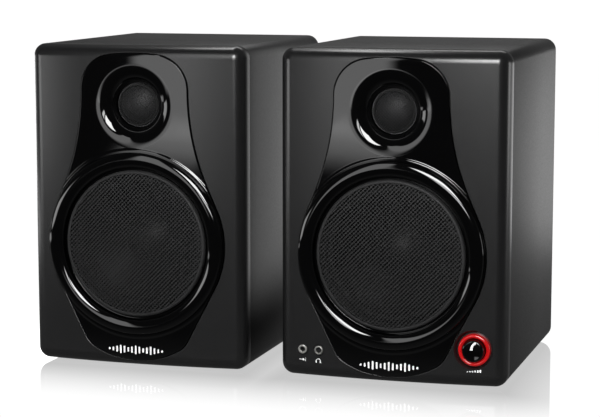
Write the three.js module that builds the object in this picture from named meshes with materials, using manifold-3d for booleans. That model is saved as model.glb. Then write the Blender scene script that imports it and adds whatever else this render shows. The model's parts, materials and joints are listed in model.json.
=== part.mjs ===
// A pair of powered desktop monitor speakers: an active right unit that holds the amplifier, and a
// passive left unit. Millimetres, +Z up, fronts facing -Y. The origin is on the desk, midway between
// the two units, at the middle of the pair's depth.
//
// Each unit is modelled in its own frame: x across from the unit's middle, z up from the desk, and y
// back from the line where the bowed front meets the sides, so the cabinet lies at positive y.
import * as THREE from "three";
import { mergeVertices } from "three/addons/utils/BufferGeometryUtils.js";
import Module from "manifold-3d";

const wasm = await Module();
wasm.setup();

// ---- driving dimensions ----
const UNIT_SPACING = 179; // middle to middle
const WIDTH = 154.5;
const BOX_HEIGHT = 220;
const FOOT_HEIGHT = 2;
const CORNER_RADIUS = 8.3;
const GAP = 0.3; // clearance between neighbouring pieces

const FRONT_BOW = 4.9; // how far the middle of the front stands ahead of its sides
const FRONT_FILLET = 8.4;
const BAFFLE_BACK = 12;
const BAFFLE_WALL = 3;
const BAFFLE_FLOOR = 5; // where the drivers' flanges bear
const FASCIA_BACK = 1.2; // the fascia is flat behind
const FASCIA_SEAM = 0.5;
const FASCIA_PROUD = 0.8; // how far it stands off the baffle round it
const SHOULDER = { radius: 65, rise: 0.6 }; // a low raised disc round the woofer, on the fascia

const CABINET_BACK = 176;
const BOARD = 9; // thickness of the cabinet's fibreboard

const WOOFER_Z = 87;
const TWEETER_Z = 181.4;
const PORT_Z = 182;
const KNOB = { x: 56.3, z: 27.2 };
const AUX = { x: -60.4, z: 20.8 };
const PHONES = { x: -49.2, z: 20.8 };

// round pieces are drawn with this many sides
const SIDES_LARGE = 32;
const SIDES_MEDIUM = 20;
const SIDES_SMALL = 12;

const HALF_WIDTH = WIDTH / 2;
const BOX_MIDDLE_Z = FOOT_HEIGHT + BOX_HEIGHT / 2;
const INSIDE_BOTTOM = FOOT_HEIGHT + BOARD;
const REAR_PLATE = { width: 104, height: 118, thickness: 2, z: 80 };
const REAR_PLATE_BACK = CABINET_BACK + GAP + REAR_PLATE.thickness;

// ---- materials ----
const finish = (color, roughness, metalness = 0) =>
  new THREE.MeshStandardMaterial({ color, roughness, metalness });

const MATERIALS = {
  vinyl: finish(0x2b2b2c, 0.62),
  satin: finish(0x2c2c2d, 0.38),
  gloss: finish(0x070707, 0.06),
  mesh: finish(0x1d1d1d, 0.5, 0.4),
  steel: finish(0x202122, 0.45, 0.7),
  ferrite: finish(0x2f2f31, 0.7, 0.3),
  paper: finish(0x1b1b1c, 0.85),
  rubber: finish(0x161616, 0.8),
  cloth: finish(0x8a6a3a, 0.9),
  copper: finish(0xa8683a, 0.4, 0.8),
  silk: finish(0x202022, 0.7),
  plastic: finish(0x1a1a1b, 0.5),
  nickel: finish(0xa9a9a6, 0.28, 0.9),
  light: finish(0xe8141c, 0.25),
  red: finish(0xb3191c, 0.45),
  board: finish(0x1d4a2f, 0.6),
  core: finish(0x4d4d50, 0.5, 0.6),
};

// ---- solids ----

// A closed geometry as a solid, with coinciding vertices joined and collapsed faces dropped.
function solid(geometry) {
  const bare = geometry.clone();
  for (const name of Object.keys(bare.attributes)) {
    if (name !== "position") bare.deleteAttribute(name);
  }
  const merged = mergeVertices(bare, 1e-4);
  const faces = [];
  for (let i = 0; i < merged.index.count; i += 3) {
    const [a, b, c] = [0, 1, 2].map((k) => merged.index.getX(i + k));
    if (a !== b && b !== c && c !== a) faces.push(a, b, c);
  }
  const make = (triVerts) =>
    new wasm.Manifold(
      new wasm.Mesh({
        numProp: 3,
        vertProperties: new Float32Array(merged.attributes.position.array),
        triVerts: new Uint32Array(triVerts),
      }),
    );
  const made = make(faces);
  return made.volume() < 0 ? make(faces.reverse()) : made;
}

const join = (...solids) => solids.reduce((a, b) => a.add(b));
const cut = (body, ...tools) => tools.reduce((a, b) => a.subtract(b), body);

function geometryOf(body) {
  const mesh = body.getMesh();
  const geometry = new THREE.BufferGeometry();
  geometry.setAttribute("position", new THREE.BufferAttribute(mesh.vertProperties, 3));
  geometry.setIndex(new THREE.BufferAttribute(mesh.triVerts, 1));
  const flat = geometry.toNonIndexed();
  flat.computeVertexNormals();
  return flat;
}

// A box from its lowest corner to its highest.
function block([x0, y0, z0], [x1, y1, z1]) {
  const geometry = new THREE.BoxGeometry(x1 - x0, y1 - y0, z1 - z0);
  return solid(geometry.translate((x0 + x1) / 2, (y0 + y1) / 2, (z0 + z1) / 2));
}

// A rod along y, about the axis at x, z.
function rod(radius, y0, y1, { x = 0, z = 0, sides = SIDES_SMALL } = {}) {
  const geometry = new THREE.CylinderGeometry(radius, radius, y1 - y0, sides);
  return solid(geometry.translate(x, (y0 + y1) / 2, z));
}

// A shape turned about the y axis, from [radius, y] points that close or that start and end on it.
function turned(points, sides = SIDES_MEDIUM, { x = 0, z = 0 } = {}) {
  const profile = points.map(([radius, y]) => new THREE.Vector2(radius, y));
  if (points[0][0] > 0) profile.push(profile[0].clone());
  return solid(new THREE.LatheGeometry(profile, sides).translate(x, 0, z));
}

// A flat x, z shape carried from y0 to y1.
function prism(shape, y0, y1, curveSegments = 4) {
  const options = { depth: y1 - y0, bevelEnabled: false, curveSegments };
  return solid(new THREE.ExtrudeGeometry(shape, options).rotateX(Math.PI / 2).translate(0, y1, 0));
}

function roundedRectangle(width, height, radius, middleZ) {
  const [w, h, r] = [width / 2, height / 2, radius];
  const shape = new THREE.Shape();
  shape.absarc(w - r, middleZ + h - r, r, 0, Math.PI / 2);
  shape.absarc(-w + r, middleZ + h - r, r, Math.PI / 2, Math.PI);
  shape.absarc(-w + r, middleZ - h + r, r, Math.PI, 1.5 * Math.PI);
  shape.absarc(w - r, middleZ - h + r, r, 1.5 * Math.PI, 2 * Math.PI);
  shape.closePath();
  return shape;
}

// ---- front: bowed baffle and hourglass fascia ----

const bow = (x) => -FRONT_BOW * (1 - (x / HALF_WIDTH) ** 2);

// The upper edge of a rounded rectangle inset by a margin, from left to right, as [x, height].
function upperEdge(margin) {
  const halfWidth = HALF_WIDTH - margin;
  const halfHeight = BOX_HEIGHT / 2 - margin;
  const radius = Math.max(CORNER_RADIUS - margin, 0.05);
  const cornerSteps = 4;
  const spans = 10;
  const arc = [];
  for (let i = 0; i <= cornerSteps; i++) {
    const angle = (Math.PI / 2) * (i / cornerSteps);
    arc.push([
      halfWidth - radius + radius * Math.cos(angle),
      halfHeight - radius + radius * Math.sin(angle),
    ]);
  }
  const straight = [];
  for (let i = 1; i < spans; i++) {
    straight.push([(halfWidth - radius) * (-1 + (2 * i) / spans), halfHeight]);
  }
  return [...arc.map(([x, z]) => [-x, z]), ...straight, ...arc.reverse()];
}

// The front block's outer form: a bowed face with a fillet all round, back to the cabinet.
function frontBlock() {
  const filletSteps = 4;
  const rings = [];
  for (let i = filletSteps; i >= 0; i--) {
    const angle = (Math.PI / 2) * (i / filletSteps);
    const margin = FRONT_FILLET * (1 - Math.cos(angle));
    const depth = FRONT_FILLET * (1 - Math.sin(angle));
    rings.push(upperEdge(margin).map(([x, z]) => [x, bow(x) + depth, z]));
  }
  rings.push(upperEdge(0).map(([x, z]) => [x, BAFFLE_BACK, z]));
  const across = rings[0].length;
  const positions = [];
  for (const ring of rings) {
    for (const [x, y, z] of ring) positions.push(x, y, BOX_MIDDLE_Z + z);
    for (const [x, y, z] of ring) positions.push(x, y, BOX_MIDDLE_Z - z);
  }
  const index = [];
  const quad = (a, b, c, d) => index.push(a, b, c, a, c, d);
  const last = rings.length - 1;
  for (let i = 0; i < across - 1; i++) {
    quad(i, i + 1, across + i + 1, across + i);
    const back = last * 2 * across;
    quad(back + i, back + across + i, back + across + i + 1, back + i + 1);
  }
  // once round a ring: along the upper edge, then back along the lower one
  const loop = [];
  for (let i = 0; i < across; i++) loop.push(i);
  for (let i = across - 1; i >= 0; i--) loop.push(across + i);
  for (let r = 0; r < last; r++) {
    const [near, far] = [r * 2 * across, (r + 1) * 2 * across];
    for (let i = 0; i < loop.length; i++) {
      const j = (i + 1) % loop.length;
      quad(near + loop[i], far + loop[i], far + loop[j], near + loop[j]);
    }
  }
  const geometry = new THREE.BufferGeometry();
  geometry.setAttribute("position", new THREE.Float32BufferAttribute(positions, 3));
  geometry.setIndex(index);
  return solid(geometry);
}

const HOURGLASS = {
  topZ: 216.6,
  crownRadius: 140,
  shoulderRadius: 24,
  waist: 38.4, // half width beside the tweeter
  waistZ: 191.7,
  neck: { x: 38.5, z: 148.6 },
  flareReach: 15.6,
  bellyRadius: 63.1, // about the woofer
  bellyUpper: THREE.MathUtils.degToRad(20.3),
  bellyLower: THREE.MathUtils.degToRad(-27.2),
  bowlRadius: 63,
  bowlBottomZ: 6.5,
  bowlCornerRadius: 15.9,
};

// The fascia's outline, grown outwards by a margin.
function hourglass(grow = 0) {
  const h = HOURGLASS;
  const crown = { z: h.topZ - h.crownRadius, r: h.crownRadius + grow };
  const shoulder = { x: h.waist - h.shoulderRadius, r: h.shoulderRadius + grow };
  const turn = Math.acos(shoulder.x / (h.crownRadius - h.shoulderRadius));
  shoulder.z = crown.z + (h.crownRadius - h.shoulderRadius) * Math.sin(turn);
  const belly = h.bellyRadius + grow;
  const at = (radius, angle) => [radius * Math.cos(angle), radius * Math.sin(angle)];
  const [upX, upZ] = at(belly, h.bellyUpper);
  const [alongX, alongZ] = at(h.flareReach, h.bellyUpper + Math.PI / 2);
  // the bowl's corner touches both the straight flank below the belly and the bowl's own arc
  const bowl = { z: h.bowlBottomZ + h.bowlRadius, r: h.bowlRadius + grow };
  const flank = at(1, h.bellyLower + Math.PI / 2);
  const inner = at(h.bellyRadius - h.bowlCornerRadius, h.bellyLower);
  const from = [inner[0], inner[1] + WOOFER_Z - bowl.z];
  const half = from[0] * flank[0] + from[1] * flank[1];
  const reach = h.bowlRadius - h.bowlCornerRadius;
  const down = half + Math.sqrt(half ** 2 - (from[0] ** 2 + from[1] ** 2 - reach ** 2));
  const corner = {
    x: from[0] - down * flank[0],
    z: from[1] - down * flank[1] + bowl.z,
    r: h.bowlCornerRadius + grow,
  };
  const low = Math.atan2(corner.z - bowl.z, corner.x);
  const shape = new THREE.Shape();
  shape.moveTo(upX, WOOFER_Z + upZ);
  shape.bezierCurveTo(
    upX + alongX,
    WOOFER_Z + upZ + alongZ,
    h.neck.x + grow,
    h.neck.z,
    h.waist + grow,
    h.waistZ,
  );
  shape.absarc(shoulder.x, shoulder.z, shoulder.r, 0, turn);
  shape.absarc(0, crown.z, crown.r, turn, Math.PI - turn);
  shape.absarc(-shoulder.x, shoulder.z, shoulder.r, Math.PI - turn, Math.PI);
  shape.lineTo(-h.waist - grow, h.waistZ);
  shape.bezierCurveTo(
    -h.neck.x - grow,
    h.neck.z,
    -upX - alongX,
    WOOFER_Z + upZ + alongZ,
    -upX,
    WOOFER_Z + upZ,
  );
  shape.absarc(0, WOOFER_Z, belly, Math.PI - h.bellyUpper, Math.PI - h.bellyLower);
  shape.absarc(-corner.x, corner.z, corner.r, Math.PI - h.bellyLower, Math.PI - low);
  shape.absarc(0, bowl.z, bowl.r, Math.PI - low, 2 * Math.PI + low);
  shape.absarc(corner.x, corner.z, corner.r, low, h.bellyLower);
  shape.absarc(0, WOOFER_Z, belly, h.bellyLower, h.bellyUpper);
  shape.closePath();
  return shape;
}

const FRONT = frontBlock();
const AHEAD = -20; // a plane ahead of every front piece
// The tweeter's horn rolls gently off the face, then steepens into an elliptical flare.
const HORN = { mouth: 29.2, throat: 15, throatY: 5.2, rollRadius: 37, flareInset: 4 };

// The bell that the tweeter's horn is cut with.
function hornBell() {
  const width = HORN.mouth - HORN.throat;
  const roll = (inside) => inside ** 2 / (2 * HORN.rollRadius);
  const face = -FRONT_BOW - FASCIA_PROUD;
  const flare = HORN.throatY - face - roll(width);
  const steps = 7;
  const points = [
    [0, AHEAD],
    [HORN.mouth + 0.02, AHEAD],
  ];
  for (let i = 0; i <= steps; i++) {
    const inside = width * Math.sin((Math.PI / 2) * (i / steps)); // closer together near the throat
    const past = Math.max(0, (inside - HORN.flareInset) / (width - HORN.flareInset));
    const depth = roll(inside) + flare * (1 - Math.sqrt(1 - past ** 2));
    points.push([HORN.mouth - inside, face + depth]);
  }
  const beyond = HORN.throatY + 5;
  points.push([HORN.throat, beyond], [0, beyond]);
  return turned(points, SIDES_LARGE, { z: TWEETER_Z });
}

function baffle(isRight) {
  const pocketWidth = WIDTH - 2 * BAFFLE_WALL;
  const pocketHeight = BOX_HEIGHT - 2 * BAFFLE_WALL;
  const pocketRadius = CORNER_RADIUS - BAFFLE_WALL;
  const pocket = roundedRectangle(pocketWidth, pocketHeight, pocketRadius, BOX_MIDDLE_Z);
  let body = cut(
    FRONT,
    prism(pocket, BAFFLE_FLOOR, BAFFLE_BACK + 1),
    prism(hourglass(FASCIA_SEAM), AHEAD, FASCIA_BACK + GAP),
    rod(56.6, AHEAD, BAFFLE_BACK, { z: WOOFER_Z, sides: SIDES_LARGE }),
    rod(29.4, AHEAD, BAFFLE_BACK, { z: TWEETER_Z, sides: SIDES_LARGE }),
  );
  if (isRight) {
    body = cut(
      body,
      rod(12.3, AHEAD, 0.9, { ...KNOB, sides: SIDES_MEDIUM }),
      rod(4.2, AHEAD, BAFFLE_BACK, KNOB),
      rod(3.4, AHEAD, BAFFLE_BACK, AUX),
      rod(3.4, AHEAD, BAFFLE_BACK, PHONES),
    );
  }
  return body;
}

// The woofer's surround bead, standing proud of the fascia, with the ledge that the grille sits on.
const BEAD = [
  [62.6, -1.4],
  [62.6, -6.2],
  [61, -7.6],
  [57.9, -8.2],
  [54.8, -7.6],
  [53, -6.2],
  [52.4, -1.2],
  [48.8, -1.2],
  [48.8, 1],
  [56.2, 1],
  [56.2, -1.4],
];

function fascia() {
  const face = FRONT.translate([0, -FASCIA_PROUD, 0]);
  const raised = FRONT.translate([0, -FASCIA_PROUD - SHOULDER.rise, 0]);
  const outline = prism(hourglass(), AHEAD, FASCIA_BACK);
  const shell = outline.intersect(face);
  const disc = rod(SHOULDER.radius, AHEAD, FASCIA_BACK, { z: WOOFER_Z, sides: SIDES_LARGE });
  const shoulder = outline.intersect(raised).intersect(disc);
  const horn = rod(28.8, -1.6, HORN.throatY, { z: TWEETER_Z, sides: SIDES_LARGE });
  const plate = cut(
    join(shell, shoulder, horn),
    rod(60, AHEAD, BAFFLE_BACK, { z: WOOFER_Z, sides: SIDES_LARGE }),
    hornBell(),
  );
  return join(plate, turned(BEAD, SIDES_LARGE, { z: WOOFER_Z }));
}

// ---- drivers, about the y axis ----

function wooferGrille() {
  return turned(
    [
      [0, -6.6],
      [30, -5.9],
      [48.3, -4.9],
      [50.3, -3.4],
      [50.3, -1.5],
      [49.5, -1.5],
      [49.5, -3],
      [48, -4.1],
      [30, -5.1],
      [0, -5.8],
    ],
    SIDES_LARGE,
  );
}

function wooferFrame() {
  const basket = turned(
    [
      [60, 5.3],
      [60, 7.8],
      [51.5, 7.8],
      [36.5, 36],
      [36.5, 39],
      [17, 39],
      [17, 36.6],
      [30.5, 36.6],
      [30.5, 29.9],
      [34.9, 29.9],
      [46.5, 8.6],
      [46.5, 6.3],
      [50, 6.3],
      [50, 5.3],
    ],
    SIDES_LARGE,
  );
  const window = new THREE.BoxGeometry(70, 15, 38).translate(60, 19, 0);
  const windows = [1, 3, 5, 7].map((eighth) =>
    solid(window.clone().rotateY((eighth * Math.PI) / 4)),
  );
  return cut(basket, ...windows);
}

function wooferMagnet() {
  return turned(
    [
      [0, 38.5],
      [12.2, 38.5],
      [12.2, 56.9],
      [14.4, 56.9],
      [14.4, 39.3],
      [36, 39.3],
      [36, 43.5],
      [40, 43.5],
      [40, 57],
      [36, 57],
      [36, 61],
      [0, 61],
    ],
    SIDES_SMALL,
  );
}

function wooferCone() {
  return turned(
    [
      [13.9, 26.1],
      [39.4, 8.6],
      [39.4, 7.6],
      [13.9, 25],
    ],
    SIDES_LARGE,
  );
}

function wooferDustCap() {
  return turned(
    [
      [0, 14.5],
      [6.5, 15.3],
      [12.5, 17.7],
      [17.2, 21.4],
      [17.6, 21.9],
      [16.4, 22.2],
      [12, 18.8],
      [6, 16.3],
      [0, 15.5],
    ],
    SIDES_MEDIUM,
  );
}

const wooferVoiceCoil = () =>
  turned(
    [
      [12.8, 25.4],
      [13.5, 25.4],
      [13.5, 50],
      [12.8, 50],
    ],
    SIDES_SMALL,
  );

// The half-roll rubber edge between the cone and the frame.
function wooferSurround() {
  const middle = { r: 43.2, y: 5.5 };
  const steps = 4;
  const roll = (radius) =>
    Array.from({ length: steps + 1 }, (_, i) => {
      const angle = (Math.PI * i) / steps;
      return [middle.r + radius * Math.cos(angle), middle.y - radius * Math.sin(angle)];
    });
  return turned(
    [[49.7, 5.2], ...roll(3.7), [36.8, 8.1], [36.8, 8.8], ...roll(3).reverse(), [49.7, 6]],
    SIDES_LARGE,
  );
}

// The corrugated disc that centres the voice coil.
function wooferSpider() {
  const [inner, outer, waves, thickness] = [13.9, 34.4, 3, 0.6];
  const middleY = 28.4;
  const steps = waves * 2;
  const front = Array.from({ length: steps + 1 }, (_, i) => [
    inner + ((outer - inner) * i) / steps,
    middleY + (i % 2 === 0 ? -0.9 : 0.9),
  ]);
  const back = front.map(([r, y]) => [r, y + thickness]).reverse();
  return turned([...front, ...back], SIDES_SMALL);
}

function tweeterBody() {
  return turned(
    [
      [0, 11],
      [11.2, 11],
      [11.2, 21],
      [13.6, 21],
      [13.6, 5.6],
      [27, 5.6],
      [27, 8.6],
      [22, 8.6],
      [22, 25],
      [0, 25],
    ],
    SIDES_MEDIUM,
  );
}

function tweeterDome() {
  return turned(
    [
      [0, 2.2],
      [5, 2.9],
      [9, 4.4],
      [12.9, 7.6],
      [12.9, 16],
      [12.1, 16],
      [12.1, 8],
      [8.6, 5.1],
      [4.8, 3.7],
      [0, 3],
    ],
    SIDES_MEDIUM,
  );
}

function tweeterGuard() {
  return turned(
    [
      [0, -1.4],
      [5, -0.9],
      [9.5, 0.7],
      [14.3, 4.4],
      [14.3, 5.2],
      [13.3, 4.8],
      [9.2, 1.5],
      [4.9, -0.1],
      [0, -0.6],
    ],
    SIDES_MEDIUM,
  );
}

// ---- cabinet and rear ----

function cabinet(isRight) {
  const outer = roundedRectangle(WIDTH, BOX_HEIGHT, CORNER_RADIUS, BOX_MIDDLE_Z);
  const front = BAFFLE_BACK + GAP;
  const side = HALF_WIDTH - BOARD;
  const inside = CABINET_BACK - BOARD;
  const top = FOOT_HEIGHT + BOX_HEIGHT - BOARD;
  const hollow = block([-side, front - 1, INSIDE_BOTTOM], [side, inside, top]);
  const portHole = rod(17.6, inside - 1, CABINET_BACK + 1, { z: PORT_Z, sides: SIDES_MEDIUM });
  const opening = isRight
    ? block(
        [-46, inside - 1, REAR_PLATE.z - 53],
        [46, CABINET_BACK + 1, REAR_PLATE.z + 53],
      )
    : block(
        [-18, inside - 1, LEFT_TERMINALS.z - 10],
        [18, CABINET_BACK + 1, LEFT_TERMINALS.z + 10],
      );
  return cut(prism(outer, front, CABINET_BACK), hollow, portHole, opening);
}

function portTube() {
  const back = CABINET_BACK + GAP;
  return turned(
    [
      [16.5, 104],
      [16.5, back],
      [23, back],
      [23, back + 1.4],
      [22, back + 2.2],
      [19.5, back + 2.2],
      [17, back + 0.8],
      [15.2, back - 3],
      [14.5, back - 8],
      [14.5, 104],
    ],
    SIDES_MEDIUM,
  );
}

// Each foot is a stuck-on rubber disc with a chamfered lower edge.
function foot() {
  const top = FOOT_HEIGHT - 0.2;
  const profile = [
    [0, 0],
    [7.4, 0],
    [8, 0.6],
    [8, top],
    [0, top],
  ].map(([radius, z]) => new THREE.Vector2(radius, z));
  return solid(new THREE.LatheGeometry(profile, SIDES_SMALL).rotateX(Math.PI / 2));
}

const LEFT_TERMINALS = { x: 0, z: 70, face: CABINET_BACK };
const RIGHT_TERMINALS = { x: 22, z: 116, face: REAR_PLATE_BACK };
const LEVER = { width: 12, thickness: 2.4, length: 11, offset: 9, tilt: 0.3, pivotZ: 9.4 };
const TERMINAL_DEPTH = 5.6; // how far the housing stands off the face behind it
const LEVER_PIVOT_Y = GAP + 3;

// A housing for two push levers, with a wire hole under each.
function terminalBlock({ x, z, face }) {
  const front = face + GAP;
  const body = block([x - 20, front, z - 13], [x + 20, front + TERMINAL_DEPTH, z + 13]);
  const boss = block([x - 17, face - 6, z - 9], [x + 17, front + 1, z + 9]);
  const tools = [-LEVER.offset, LEVER.offset].flatMap((dx) => {
    const half = LEVER.width / 2 + 0.6;
    return [
      block(
        [x + dx - half, front + 0.6, z - 3.4],
        [x + dx + half, front + TERMINAL_DEPTH + 1, z + 11.6],
      ),
      rod(1.8, front - 4, front + TERMINAL_DEPTH + 1, { x: x + dx, z: z - 8 }),
    ];
  });
  return cut(join(body, boss), ...tools);
}

// A push lever hung from its upper end. It is drawn about its own pivot.
function terminalLever() {
  const { width, thickness, length } = LEVER;
  const tab = new THREE.BoxGeometry(width, thickness, length).translate(0, 0, -length / 2 + 1.2);
  const lip = new THREE.BoxGeometry(width, 1.6, 2).translate(0, thickness / 2, -length + 2.2);
  return join(solid(tab), solid(lip));
}

// The metal panel that carries the amplifier's sockets, with cooling fins.
function amplifierPlate() {
  const { width, height, thickness, z } = REAR_PLATE;
  const front = CABINET_BACK + GAP;
  const panel = prism(roundedRectangle(width, height, 3, z), front, front + thickness);
  const fins = Array.from({ length: 7 }, (_, i) =>
    block([-46 + i * 6, front + 1, 96], [-44.2 + i * 6, front + 7, 133]),
  );
  const through = (x0, z0, x1, z1) => block([x0, front - 1, z0], [x1, front + thickness + 1, z1]);
  return cut(
    join(panel, ...fins),
    through(MAINS.x - 14, MAINS.z - 10.3, MAINS.x + 14, MAINS.z + 10.3),
    through(SWITCH.x - 7.2, SWITCH.z - 10.6, SWITCH.x + 7.2, SWITCH.z + 10.6),
    through(USB.x - 6.4, USB.z - 5.9, USB.x + 6.4, USB.z + 5.9),
    through(
      RIGHT_TERMINALS.x - 17.4,
      RIGHT_TERMINALS.z - 9.4,
      RIGHT_TERMINALS.x + 17.4,
      RIGHT_TERMINALS.z + 9.4,
    ),
    ...RCA.map((at) => rod(5, front - 1, front + thickness + 1, at)),
  );
}

const MAINS = { x: -28, z: 40 };
const SWITCH = { x: 6, z: 40 };
const USB = { x: 30, z: 76 };
const RCA = [
  { x: -30, z: 76 },
  { x: -10, z: 76 },
];

function mainsInlet() {
  const { x, z } = MAINS;
  const face = REAR_PLATE_BACK + GAP;
  const flange = block([x - 17, face, z - 13], [x + 17, face + 2.4, z + 13]);
  const body = block([x - 13.6, face - 16, z - 9.9], [x + 13.6, face + 1, z + 9.9]);
  const socket = block([x - 11.5, face - 13, z - 7.5], [x + 11.5, face + 4, z + 7.5]);
  const blades = [
    [-6.5, -1.5],
    [0, 2.5],
    [6.5, -1.5],
  ].map(([dx, dz]) =>
    block([x + dx - 1, face - 14, z + dz - 2], [x + dx + 1, face + 0.5, z + dz + 2]),
  );
  return join(cut(join(flange, body), socket), ...blades);
}

const ROCKER = { width: 11, height: 17, tilt: 0.14, pivotY: REAR_PLATE_BACK - 1 };

// The rocker's housing: a collar on the plate with a body behind it.
function powerSwitchHousing() {
  const { x, z } = SWITCH;
  const face = REAR_PLATE_BACK + GAP;
  const collar = block([x - 8.6, face, z - 12], [x + 8.6, face + 1.8, z + 12]);
  const body = block([x - 6.9, face - 14, z - 10.3], [x + 6.9, face + 1, z + 10.3]);
  return cut(
    join(collar, body),
    block([x - 6, face - 11, z - 9.3], [x + 6, face + 3, z + 9.3]),
  );
}

// A rocker cap with two faces that meet in a shallow valley. It is drawn about its own pivot.
function powerRocker() {
  const { width, height } = ROCKER;
  const shape = new THREE.Shape();
  const [half, rise, valley, skirt] = [height / 2, 5.2, 3.4, 2.6];
  shape.moveTo(-half, -skirt + 1);
  shape.lineTo(-half, rise);
  shape.lineTo(0, valley);
  shape.lineTo(half, rise);
  shape.lineTo(half, -skirt + 1);
  shape.lineTo(2.5, -skirt);
  shape.lineTo(-2.5, -skirt);
  const options = { depth: width, bevelEnabled: false };
  const geometry = new THREE.ExtrudeGeometry(shape, options).translate(0, 0, -width / 2);
  // shape x runs along z, shape y along y, and its depth along x
  return solid(geometry.rotateY(-Math.PI / 2));
}

function rcaSockets() {
  const face = REAR_PLATE_BACK;
  const body = block([RCA[0].x - 8, face - 14, RCA[0].z - 9], [RCA[1].x + 8, face - 2.8, RCA[0].z + 9]);
  const barrels = RCA.map((at) => rod(4.2, face - 3, face + 9, { ...at, sides: 20 }));
  const bores = RCA.map((at) => rod(1.7, face - 6, face + 10, { ...at, sides: 12 }));
  return cut(join(body, ...barrels), ...bores);
}

function usbSocket() {
  const { x, z } = USB;
  const face = REAR_PLATE_BACK + 0.8;
  const shell = block([x - 6, face - 16, z - 5.5], [x + 6, face, z + 5.5]);
  const mouth = block([x - 5, face - 9, z - 4.5], [x + 5, face + 1, z + 4.5]);
  const tongue = block([x - 2.8, face - 10, z - 1.6], [x + 2.8, face - 1.5, z + 1.6]);
  return join(cut(shell, mouth), tongue);
}

// ---- electronics inside ----

function transformer() {
  const core = block([-26, 96, INSIDE_BOTTOM + GAP], [26, 122, 55]);
  const bobbin = block([-18, 86, 19], [18, 132, 48]);
  const tabs = block([-34, 98, INSIDE_BOTTOM + GAP], [34, 120, INSIDE_BOTTOM + 2.3]);
  return join(core, bobbin, tabs);
}

function amplifierBoard() {
  const [front, back] = [146, 147.6];
  const pcb = block([-45, front, 54], [45, back, 128]);
  const capacitors = [
    { x: -28, z: 100 },
    { x: -8, z: 100 },
  ].map((at) => rod(8, front - 26, front + 0.5, at));
  const coolingBlock = block([12, front - 12, 70], [38, front + 0.5, 118]);
  const driverChip = block([-24, front - 5, 56], [-4, front + 0.5, 74]);
  const posts = [
    [-42, 58],
    [42, 58],
    [-42, 124],
    [42, 124],
  ].map(([x, z]) => rod(2.6, back - 0.5, CABINET_BACK, { x, z, sides: 10 }));
  return join(pcb, ...capacitors, coolingBlock, driverChip, ...posts);
}

function controlBoard() {
  const [front, back] = [21, 22.6];
  const pcb = block([-66, front, 13], [66, back, 35]);
  return join(pcb, block([-20, front - 4, 17], [-8, front + 0.5, 25]));
}

function jack() {
  const collar = rod(3, -2.6, 6, { sides: 20 });
  const body = block([-4.6, 5.6, -4.8], [4.6, 20.5, 4.8]);
  return cut(join(collar, body), rod(1.8, -4, 17, { sides: 14 }));
}

function potentiometer() {
  const bush = rod(3.8, 1.3, 8, { sides: 20 });
  const body = rod(8.4, 6, 17, { sides: 20 });
  const pins = block([-5, 14, -10.5], [5, 20.6, -6]);
  return cut(join(bush, body, pins), rod(SHAFT_RADIUS + 0.15, -2, 14.6, { sides: 20 }));
}

const SHAFT_RADIUS = 3;
const volumeShaft = () => rod(SHAFT_RADIUS, -4.6, 14.2, { sides: 20 });

// The light guide that glows round the volume knob.
function lightRing() {
  return turned(
    [
      [8, 0.5],
      [8, -2.3],
      [8.8, -3.3],
      [9.7, -3.5],
      [10.5, -2.9],
      [10.9, -1.6],
      [10.9, 0.5],
    ],
    SIDES_MEDIUM,
  );
}

// The knob's slot is its pointer, which stands at the top at rest.
function volumeKnob() {
  const cap = turned(
    [
      [0, -6.9],
      [5.4, -7.4],
      [6.8, -7.1],
      [7.4, -6.2],
      [7.6, -0.5],
      [3.15, -0.5],
      [3.15, -4.9],
      [0, -4.9],
    ],
    SIDES_MEDIUM,
  );
  return cut(cap, block([-0.7, -8.5, 1.6], [0.7, -6.6, 8]));
}

function crossover() {
  const [x0, y0] = [-28, 120];
  const bottom = INSIDE_BOTTOM + GAP;
  const pcb = block([x0, y0, bottom + 3], [x0 + 56, y0 + 38, bottom + 4.6]);
  const feet = [
    [x0 + 3, y0 + 3],
    [x0 + 49, y0 + 3],
    [x0 + 3, y0 + 31],
    [x0 + 49, y0 + 31],
  ].map(([x, y]) => block([x, y, bottom], [x + 4, y + 4, bottom + 3.5]));
  const capacitor = rod(6, y0 + 6, y0 + 30, { x: x0 + 14, z: bottom + 10, sides: 14 });
  const coil = new THREE.CylinderGeometry(11, 11, 14, 16).rotateX(Math.PI / 2);
  coil.translate(x0 + 40, y0 + 19, bottom + 11);
  return join(pcb, ...feet, capacitor, solid(coil));
}

// ---- assembly ----

function part(name, body, material, { x = 0, y = 0, z = 0, tilt = 0 } = {}) {
  const mesh = new THREE.Mesh(geometryOf(body), material);
  mesh.name = name;
  mesh.position.set(x, y, z);
  mesh.rotation.x = tilt;
  return mesh;
}

function woofer(side) {
  const group = new THREE.Group();
  group.position.z = WOOFER_Z;
  const m = MATERIALS;
  group.add(
    part(`${side}_woofer_grille`, wooferGrille(), m.mesh),
    part(`${side}_woofer_frame`, wooferFrame(), m.steel),
    part(`${side}_woofer_magnet`, wooferMagnet(), m.ferrite),
    part(`${side}_woofer_cone`, wooferCone(), m.paper),
    part(`${side}_woofer_dust_cap`, wooferDustCap(), m.paper),
    part(`${side}_woofer_voice_coil`, wooferVoiceCoil(), m.copper),
    part(`${side}_woofer_surround`, wooferSurround(), m.rubber),
    part(`${side}_woofer_spider`, wooferSpider(), m.cloth),
  );
  return group;
}

function tweeter(side) {
  const group = new THREE.Group();
  group.position.z = TWEETER_Z;
  group.add(
    part(`${side}_tweeter_body`, tweeterBody(), MATERIALS.ferrite),
    part(`${side}_tweeter_dome`, tweeterDome(), MATERIALS.silk),
    part(`${side}_tweeter_guard`, tweeterGuard(), MATERIALS.mesh),
  );
  return group;
}

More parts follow.
